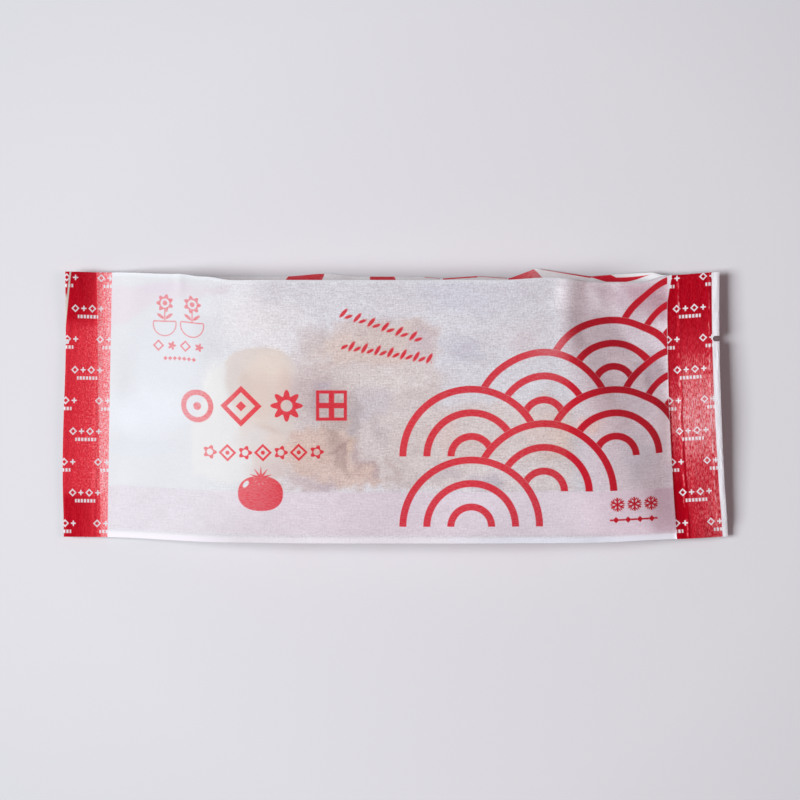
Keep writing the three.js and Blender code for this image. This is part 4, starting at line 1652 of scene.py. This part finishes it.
@dataclass
class FilmBag:
    """The film: one sheet folded into a tube with two V-shaped gussets, and sealed flat across both ends."""

    form: FilmForm = field(default_factory=FilmForm)
    cake: Cake = field(default_factory=Cake)
    flat_width: float = 101.0
    leg: float = 21.0  # a gusset's depth in the flat film
    front_cells: int = 110
    leg_cells: int = 11
    seal_cells: int = 32
    film_cells: int = 222
    seal_gap: float = 0.5  # between the film's two outer layers in an end band
    cake_gap: float = 2.4  # between the cake's outline and a gusset's inner fold, at least
    band_start: tuple[float, float] = (-108.0, 104.3)  # where the bands' red print begins
    nick: EdgeCut = EdgeCut(0.7364, 0.0089, 1.3)  # in the left band
    tear_notch: EdgeCut = EdgeCut(0.7488, 0.0109, 2.6)  # in the right band
    # the gussets' white is painted lighter than the front's, standing in for light that comes through the
    # film
    gusset_white_lightened: Colour = (0.84, 0.845, 0.865)
    back_tint: Colour = (0.97, 0.97, 0.98)
    band_tints: tuple[Colour, Colour] = ((1.0, 1.0, 1.01), (1.22, 1.21, 1.23))  # left, right
    back_mottle: float = 0.35
    band_mottle: float = 0.12
    weld_distance: float = 0.000002  # in metres
    crisp_deg: float = 32.0  # edges sharper than this stay crisp

    def stations(self) -> np.ndarray:
        """The sections' places along the pack, with one on each edge of the printed bands."""
        left = np.linspace(self.form.pack_end[0], self.form.seal_start[0], self.seal_cells + 1)
        film = np.linspace(self.band_start[0], self.band_start[1], self.film_cells + 1)
        right = np.linspace(self.form.seal_start[1], self.form.pack_end[1], self.seal_cells + 1)
        return np.concatenate([left, film, right])

    def row_plan(self) -> tuple[np.ndarray, np.ndarray]:
        """The rows round a section: which panel each is on, and how far along it.

        Returns:
            Each row's panel, and the share of the way across it.
        """
        across = {step / self.front_cells for step in range(self.front_cells)}
        front = sorted(across | self.nick.rows() | self.tear_notch.rows())
        back = [0.0] + [1.0 - share for share in reversed(front) if share > 0.0]
        leg = [step / self.leg_cells for step in range(self.leg_cells)]
        plan = (front, leg, leg, back, leg, leg)
        panels = [panel for panel, shares in enumerate(plan) for _ in shares]
        shares = [share for shares in plan for share in shares]
        return np.array(panels + [int(Panel.SOUTH_UPPER)]), np.array(shares + [1.0])

    def cut_back(self, x: np.ndarray, panel: np.ndarray, share: np.ndarray) -> np.ndarray:
        """Stations drawn back from the bands' ends, inside the small nick and the tear notch.

        Args:
            x: Stations along the pack.
            panel, share: The row plan's values for each vertex.

        Returns:
            The stations with the two cuts in them.
        """
        across = np.where(panel == Panel.BACK, 1.0 - share, share)
        outer = (panel == Panel.FRONT) | (panel == Panel.BACK)
        left_end = self.form.pack_end[0] + self.nick.reach(across) * outer
        right_end = self.form.pack_end[1] - self.tear_notch.reach(across) * outer
        return np.clip(x, left_end, right_end)

    def fold(
        self, station: np.ndarray, x: np.ndarray, panel: np.ndarray, share: np.ndarray
    ) -> tuple[np.ndarray, np.ndarray, np.ndarray]:
        """Folds the flat film.

        Args:
            station, x: Stations along the pack, without and with the two cuts.
            panel, share: The row plan's values for each vertex.

        Returns:
            True X, Y and Z in the pack's own millimetres.
        """
        form = self.form
        at_end = np.minimum(station - form.pack_end[0], form.pack_end[1] - station) < 1e-6
        pressed = ease(np.maximum(form.seal_start[0] - x, x - form.seal_start[1]) / 3.0)
        thinned = (form.seal_thickness - self.seal_gap) / 2 * pressed
        trim = np.where(at_end, form.seal_thickness / 2, thinned)

        def front_at(at: np.ndarray) -> tuple[np.ndarray, np.ndarray]:
            """Y and Z of the front panel, at shares of the way from south to north."""
            y = mix(form.south_crease(x), form.north_crease(x), at)
            return y, form.front_height(x, y, at) - trim

        def back_at(at: np.ndarray) -> tuple[np.ndarray, np.ndarray]:
            """Y and Z of the back panel, at shares of the way from north to south."""
            y = mix(form.north_back(x), form.south_back(x), at)
            return y, form.back_height(x, y) + trim

        def leg_at(side: int, down: bool, at: np.ndarray) -> tuple[np.ndarray, np.ndarray]:
            """Y and Z of a gusset's leg.

            Args:
                side: 1 for the north gusset, -1 for the south one.
                down: Whether it is the upper leg, from the front panel down to the inner fold.
                at: Shares of the way down the leg.

            Returns:
                Y and Z.
            """
            north = side > 0
            front_y, front_z = front_at(np.full_like(x, 1.0 if north else 0.0))
            back_y, back_z = back_at(np.full_like(x, 0.0 if north else 1.0))
            height = front_z - back_z
            opened = ease((height - form.seal_thickness) / 9)
            inward = np.where(at_end, 0.0, mix(0.5, form.gusset_depth, opened))
            fold_y = mix(front_y, back_y, 0.5) - side * inward
            if north:
                fold_y = np.maximum(fold_y, self.cake.upper(x) + self.cake_gap)
            else:
                fold_y = np.minimum(fold_y, self.cake.lower(x) - self.cake_gap)
            fold_z = back_z + height * form.inner_fold_share
            start_y, start_z = (front_y, front_z) if down else (fold_y, fold_z)
            end_y, end_z = (fold_y, fold_z) if down else (back_y, back_z)
            slack = np.sin(math.pi * at) * opened
            crumple = slack * (0.5 * ripples(x, at * 20.0 + (40 if down else 0) + side * 90, 5, 10, 9, 40))
            return mix(start_y, end_y, at), mix(start_z, end_z, at) + crumple

        choices = [
            front_at(share), leg_at(1, True, share), leg_at(1, False, share),
            back_at(share), leg_at(-1, False, 1 - share), leg_at(-1, True, 1 - share),
        ]
        y = np.choose(panel, [choice[0] for choice in choices])
        z = np.choose(panel, [choice[1] for choice in choices])
        true_x, true_y = form.place(x, y)
        return true_x, true_y, z

    def flat_places(self, panel: np.ndarray, share: np.ndarray) -> np.ndarray:
        """The film's own coordinate round the tube: 0 in the middle of the front panel, north upwards.

        Args:
            panel, share: The row plan's values for each vertex.

        Returns:
            The coordinates.
        """
        lengths = np.array([self.flat_width, self.leg, self.leg, self.flat_width, self.leg, self.leg])
        starts = np.concatenate([[0.0], np.cumsum(lengths)[:-1]]) - self.flat_width / 2
        return starts[panel] + lengths[panel] * share

    def crimp_relief(self, x: np.ndarray, flat: np.ndarray) -> np.ndarray:
        """The sealing jaws' marks on the end bands: long ridges and fine upright crimps.

        Args:
            x, flat: Places along the pack and round the tube.

        Returns:
            Heights to add.
        """
        form = self.form
        in_right = ease((x - form.seal_start[1] - 0.5) / 1.0)
        in_left = ease((form.seal_start[0] - 0.5 - x) / 1.0)
        wander = 0.3 * np.sin(flat / 9.0) + 0.2 * np.sin(flat / 3.7)
        ridges = 0.20 * bump(x, 109.0 + wander, 0.5) + 0.14 * bump(x, 120.3 + wander * 0.6, 0.4)
        crimps = 0.07 * ripples(x * 3.2, flat * 0.55, 23, 14, 2.4, 9.0)
        left_ridge = 0.14 * bump(x, -113.4, 0.5)
        return in_right * (ridges + crimps) + in_left * (left_ridge + crimps * 0.7)

    def washes(self, x: np.ndarray, flat: np.ndarray) -> np.ndarray:
        """How far the print is washed out: on the bands by fewer layers and by painted sheen, least where
        the folded gussets back them; on the film by painted glare, which spares the shaded slope at the
        right.

        Args:
            x, flat: Places along the pack and round the tube.

        Returns:
            Shares from 0 to 1.
        """
        left_x = (
            (-126.0, 0.20), (-124.0, 0.30), (-120.0, 0.37), (-115.5, 0.43), (-113.2, 0.52), (-108.5, 0.74),
        )
        backed_x = (
            (-126.0, 0.0), (-120.0, 0.05), (-116.0, 0.14), (-113.5, 0.26), (-111.0, 0.45), (-108.5, 0.60),
        )
        backed = np.maximum(ease((flat - 28.0) / 6.0), ease((-31.5 - flat) / 5.0))
        left = mix(line_through(left_x, x), line_through(backed_x, x), backed)
        inner_y = (
            (-50.5, 0.0), (-31, 0.03), (-23.5, 0.2), (-15, 0.42), (-7, 0.68), (0.5, 0.66), (7.6, 0.42),
            (16, 0.22), (23.6, 0.2), (30.4, 0.12), (38, 0.02), (50.5, 0.0),
        )
        outer_y = (
            (-50.5, 0.40), (-38, 0.42), (-31, 0.44), (-23.5, 0.50), (-15, 0.76), (-7, 0.90), (0.5, 0.84),
            (7.6, 0.74), (16, 0.52), (23.6, 0.28), (30.4, 0.12), (40, 0.04), (50.5, 0.04),
        )
        right = mix(line_through(inner_y, flat), line_through(outer_y, flat), ease((x - 108.9) / 1.0))
        right = right + (0.14 * ease((x - 113) / 8) - 0.12 * ease((113 - x) / 3)) * ease((-26 - flat) / 8)
        # painted glare pales the ink on the film everywhere but on the shaded slope at the right, and most
        # on the left ramp and along the ridge
        glare_wash = 0.06 * ease((68 - x) / 6) + 0.30 * ease((-52 - x) / 26)
        glare_wash = glare_wash + 0.20 * bump(x, 58.0, 7.0) * ease((flat - 8) / 24)
        glare_wash = glare_wash + 0.09 * bump(x, -52.0, 9.0) * ease((-18 - flat) / 6)
        return np.where(x < self.band_start[0], left, np.where(x > self.band_start[1], right, glare_wash))

    def regions(self, x: np.ndarray, flat: np.ndarray, panel: np.ndarray) -> np.ndarray:
        """Which printed region each face is in, by its middle.

        Args:
            x, flat: The faces' middles along the pack and round the tube.
            panel: The faces' panels.

        Returns:
            The regions' numbers.
        """
        out = np.full(len(x), int(Region.PLAIN))
        front = panel == Panel.FRONT
        # each print's region: x from and to, y from and to
        boxes = (
            (Region.WAVES, 0, 105.2, -51, 51), (Region.COLD, 78, 101.5, -46, -31.5),
            (Region.EMBLEM, -94, -69, 15, 46), (Region.TITLE, -83, -15, -20, 10),
            (Region.SLANTED, -23, 17, 16, 43), (Region.TOMATO, -61, -39.5, -40, -20.5),
        )
        for region, x_from, x_to, from_y, to_y in boxes:
            hit = front & (x > x_from) & (x < x_to) & (flat > from_y) & (flat < to_y)
            out[hit] = int(region)
        out[~front & (panel != Panel.BACK)] = int(Region.GUSSET)
        out[x < self.band_start[0]] = int(Region.LEFT_BAND)
        out[x > self.band_start[1]] = int(Region.RIGHT_BAND)
        return out

    def finishes(self) -> list[bpy.types.Material]:
        """One material for each region, in the regions' order."""
        film = FilmFinish()

        def gusset(pen: Pen) -> Field:
            """The gussets' ink, on the pen of one gusset's own coordinates."""
            start = self.flat_width / 2 + self.leg
            period = self.flat_width + 2 * self.leg
            return gusset_print(Pen(pen.sheet, pen.x, (pen.y - start).fold(period) + self.leg, pen.edge))

        return [
            film.dress("film_plain", None), film.dress("film_emblem", emblem_print),
            film.dress("film_title", title_print), film.dress("film_slanted", slanted_print),
            film.dress("film_tomato", tomato_print), film.dress("film_waves", waves_print),
            film.dress("film_cold", cold_print),
            LEFT_BAND.dress_left("band_left"), RIGHT_BAND.dress_right("band_right"),
            FilmFinish(white=self.gusset_white_lightened).dress("film_gusset", gusset),
        ]

    def build(self) -> tuple[bpy.types.Object, Vector]:
        """Folds a flat grid into the bag.

        Returns:
            The film's object, and the shift from the pack's own millimetres to the frame's.
        """
        stations = self.stations()
        panels, shares = self.row_plan()
        columns, rows = len(stations) - 1, len(panels) - 1
        made = new_grid("film_bag", columns, rows)
        mesh = made.data
        column, row = grid_indices(mesh, columns, rows)
        station, panel, share = stations[column], panels[row], shares[row]
        x = self.cut_back(station, panel, share)
        flat = self.flat_places(panel, share)
        true_x, true_y, z = self.fold(station, x, panel, share)
        closing_row = row == rows  # lies on the first row, along the south crease
        on_front = (panel == Panel.FRONT) | closing_row
        around = np.where(closing_row, -self.flat_width / 2, flat)
        crimps = self.crimp_relief(x, around) * np.where(on_front, 1.0, 0.6)
        at_end = (column == 0) | (column == columns)
        z = z + np.where(at_end | ~(on_front | (panel == Panel.BACK)), 0.0, crimps)
        low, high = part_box(NODE)
        shift = Vector((
            (low.x + high.x) / 2 / MM - (true_x.min() + true_x.max()) / 2,
            high.y / MM - true_y.max(),
            low.z / MM - z.min(),
        ))
        place_vertices(mesh, true_x, true_y, z, shift)
        self.store_tones(mesh, x, around, on_front, true_x, true_y)
        store(mesh, WASH, self.washes(x, around))
        self.write_flat_map(mesh, x, flat)
        self.assign_regions(mesh, x, flat, panel)
        for material in self.finishes():
            mesh.materials.append(material)
        weld(made, self.weld_distance)
        smooth(made, self.crisp_deg)
        return made, shift

    def store_tones(
        self, mesh: bpy.types.Mesh, x: np.ndarray, around: np.ndarray, on_front: np.ndarray,
        true_x: np.ndarray, true_y: np.ndarray,
    ) -> None:
        """Stores what shows through the film with its painted light and shade, and how unevenly, at each
        vertex.

        Args:
            mesh: The film's mesh.
            x, around: Places along the pack and round the tube.
            on_front: Whether a vertex is on the front panel.
            true_x, true_y: The folded film's places.
        """
        under = ShowThroughAndLight()
        south, north = self.flat_width / 2 + around, self.flat_width / 2 - around
        left, right = x < self.band_start[0], x > self.band_start[1]
        tint = under.tones(true_x, true_y, south, north)
        # a painted highlight along the line where the film meets the right band
        tint *= 1 + 0.2 * bump(x, 104.1, 0.7)[:, None]
        tint[~on_front] = self.back_tint
        tint[left] = self.band_tints[0]
        tint[right] = self.band_tints[1]
        colours = np.concatenate([tint, np.ones((len(tint), 1))], axis=1)
        attribute = mesh.color_attributes.new(SHOW_THROUGH_AND_LIGHT, "FLOAT_COLOR", "POINT")
        attribute.data.foreach_set("color", colours.astype(np.float32).ravel())
        mottle = np.where(on_front, under.mottle(true_x, true_y, south), self.back_mottle)
        mottle[left | right] = self.band_mottle
        store(mesh, MOTTLE, mottle)

    def write_flat_map(self, mesh: bpy.types.Mesh, x: np.ndarray, flat: np.ndarray) -> None:
        """Writes the film's own coordinates as its only UV map.

        Args:
            mesh: The film's mesh.
            x, flat: Each vertex's place along the pack and round the tube.
        """
        while mesh.uv_layers:
            mesh.uv_layers.remove(mesh.uv_layers[0])
        corner = corner_vertices(mesh)
        layer = mesh.uv_layers.new(name=FLAT_MAP)
        values = np.stack([x[corner], flat[corner]], axis=1) * UV_SCALE
        layer.uv.foreach_set("vector", values.astype(np.float32).ravel())

    def assign_regions(
        self, mesh: bpy.types.Mesh, x: np.ndarray, flat: np.ndarray, panel: np.ndarray
    ) -> None:
        """Gives each face its region's material slot.

        Args:
            mesh: The film's mesh.
            x, flat: Each vertex's place along the pack and round the tube.
            panel: Each vertex's panel.
        """
        quads = corner_vertices(mesh).reshape(-1, 4)
        face_panel = panel[quads].min(axis=1)
        wrap = panel[quads].max(axis=1) - face_panel
        face_panel = np.where(wrap > 1, Panel.SOUTH_UPPER, face_panel)
        region = self.regions(x[quads].mean(axis=1), flat[quads].mean(axis=1), face_panel)
        mesh.polygons.foreach_set("material_index", region.astype(np.int32))


# ---------------------------------------------------------------- the studio


@dataclass
class Studio:
    """A pale floor, a large soft key light from the left, a weak fill from the right and a camera above."""

    floor_size: float = 3.0
    camera_height: float = 1.12
    frame_width: float = 0.3054  # the floor's width across the view
    sensor_width: float = 36.0  # in millimetres
    centre: tuple[float, float] = (0.0017, 0.0022)
    key_place: tuple[float, float, float] = (-1.957, -0.10, 1.706)
    key_power: float = 92.4
    key_size: tuple[float, float] = (1.15, 1.5)
    key_colour: Colour = (0.988, 1.016, 1.019)
    fill_place: tuple[float, float, float] = (1.838, 0.0, 1.838)
    fill_power: float = 8.6
    fill_size: tuple[float, float] = (1.0, 1.0)
    fill_colour: Colour = (1.26, 0.66, 0.62)
    ambient: float = 0.112
    ambient_colour: Colour = (0.97, 0.975, 1.0)

    def build(self) -> None:
        """Makes the floor, the lights and the camera."""
        deselect_all()
        bpy.ops.mesh.primitive_plane_add(size=self.floor_size)
        floor = bpy.context.object
        floor.name = "floor"
        floor.data.materials.append(FloorFinish().dress("pale_board"))
        self.light("key", self.key_place, self.key_size, self.key_power, self.key_colour)
        self.light("fill", self.fill_place, self.fill_size, self.fill_power, self.fill_colour)
        world = bpy.data.worlds.new("studio")
        world.use_nodes = True
        background = world.node_tree.nodes["Background"]
        background.inputs["Color"].default_value = (*self.ambient_colour, 1.0)
        background.inputs["Strength"].default_value = self.ambient
        bpy.context.scene.world = world
        self.camera()
        bpy.context.scene.view_settings.view_transform = "Standard"

    def light(
        self, name: str, place: tuple[float, float, float], size: tuple[float, float], power: float,
        colour: Colour,
    ) -> None:
        """Adds one soft light, turned to the pack.

        Args:
            name: Its name.
            place: Where it hangs, in metres.
            size: Its width and height in metres.
            power: Its power in watts.
            colour: Its colour.
        """
        lamp = bpy.data.lights.new(name, "AREA")
        lamp.shape = "RECTANGLE"
        lamp.size, lamp.size_y = size
        lamp.energy = power
        lamp.color = colour
        holder = bpy.data.objects.new(name, lamp)
        holder.location = place
        holder.rotation_euler = (-Vector(place)).to_track_quat("-Z", "Y").to_euler()
        bpy.context.scene.collection.objects.link(holder)

    def camera(self) -> None:
        """Hangs the camera straight over the pack."""
        lens = bpy.data.cameras.new("camera")
        lens.sensor_width = self.sensor_width
        lens.lens = lens.sensor_width * self.camera_height / self.frame_width
        holder = bpy.data.objects.new("camera", lens)
        holder.location = (*self.centre, self.camera_height)
        bpy.context.scene.collection.objects.link(holder)
        bpy.context.scene.camera = holder


def main() -> None:
    """Builds the film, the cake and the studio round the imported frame, in that order."""
    logging.basicConfig(level=logging.INFO, format="%(message)s")
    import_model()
    bag = FilmBag()
    film, shift = bag.build()
    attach(film, BODY)
    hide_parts(NODE)
    log.info("film_bag: %d faces", len(film.data.polygons))
    cake = bag.cake.build(bag.form, shift)
    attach(cake, BODY)
    log.info("cake: %d faces", len(cake.data.polygons))
    Studio().build()


if __name__ == "__main__":
    main()
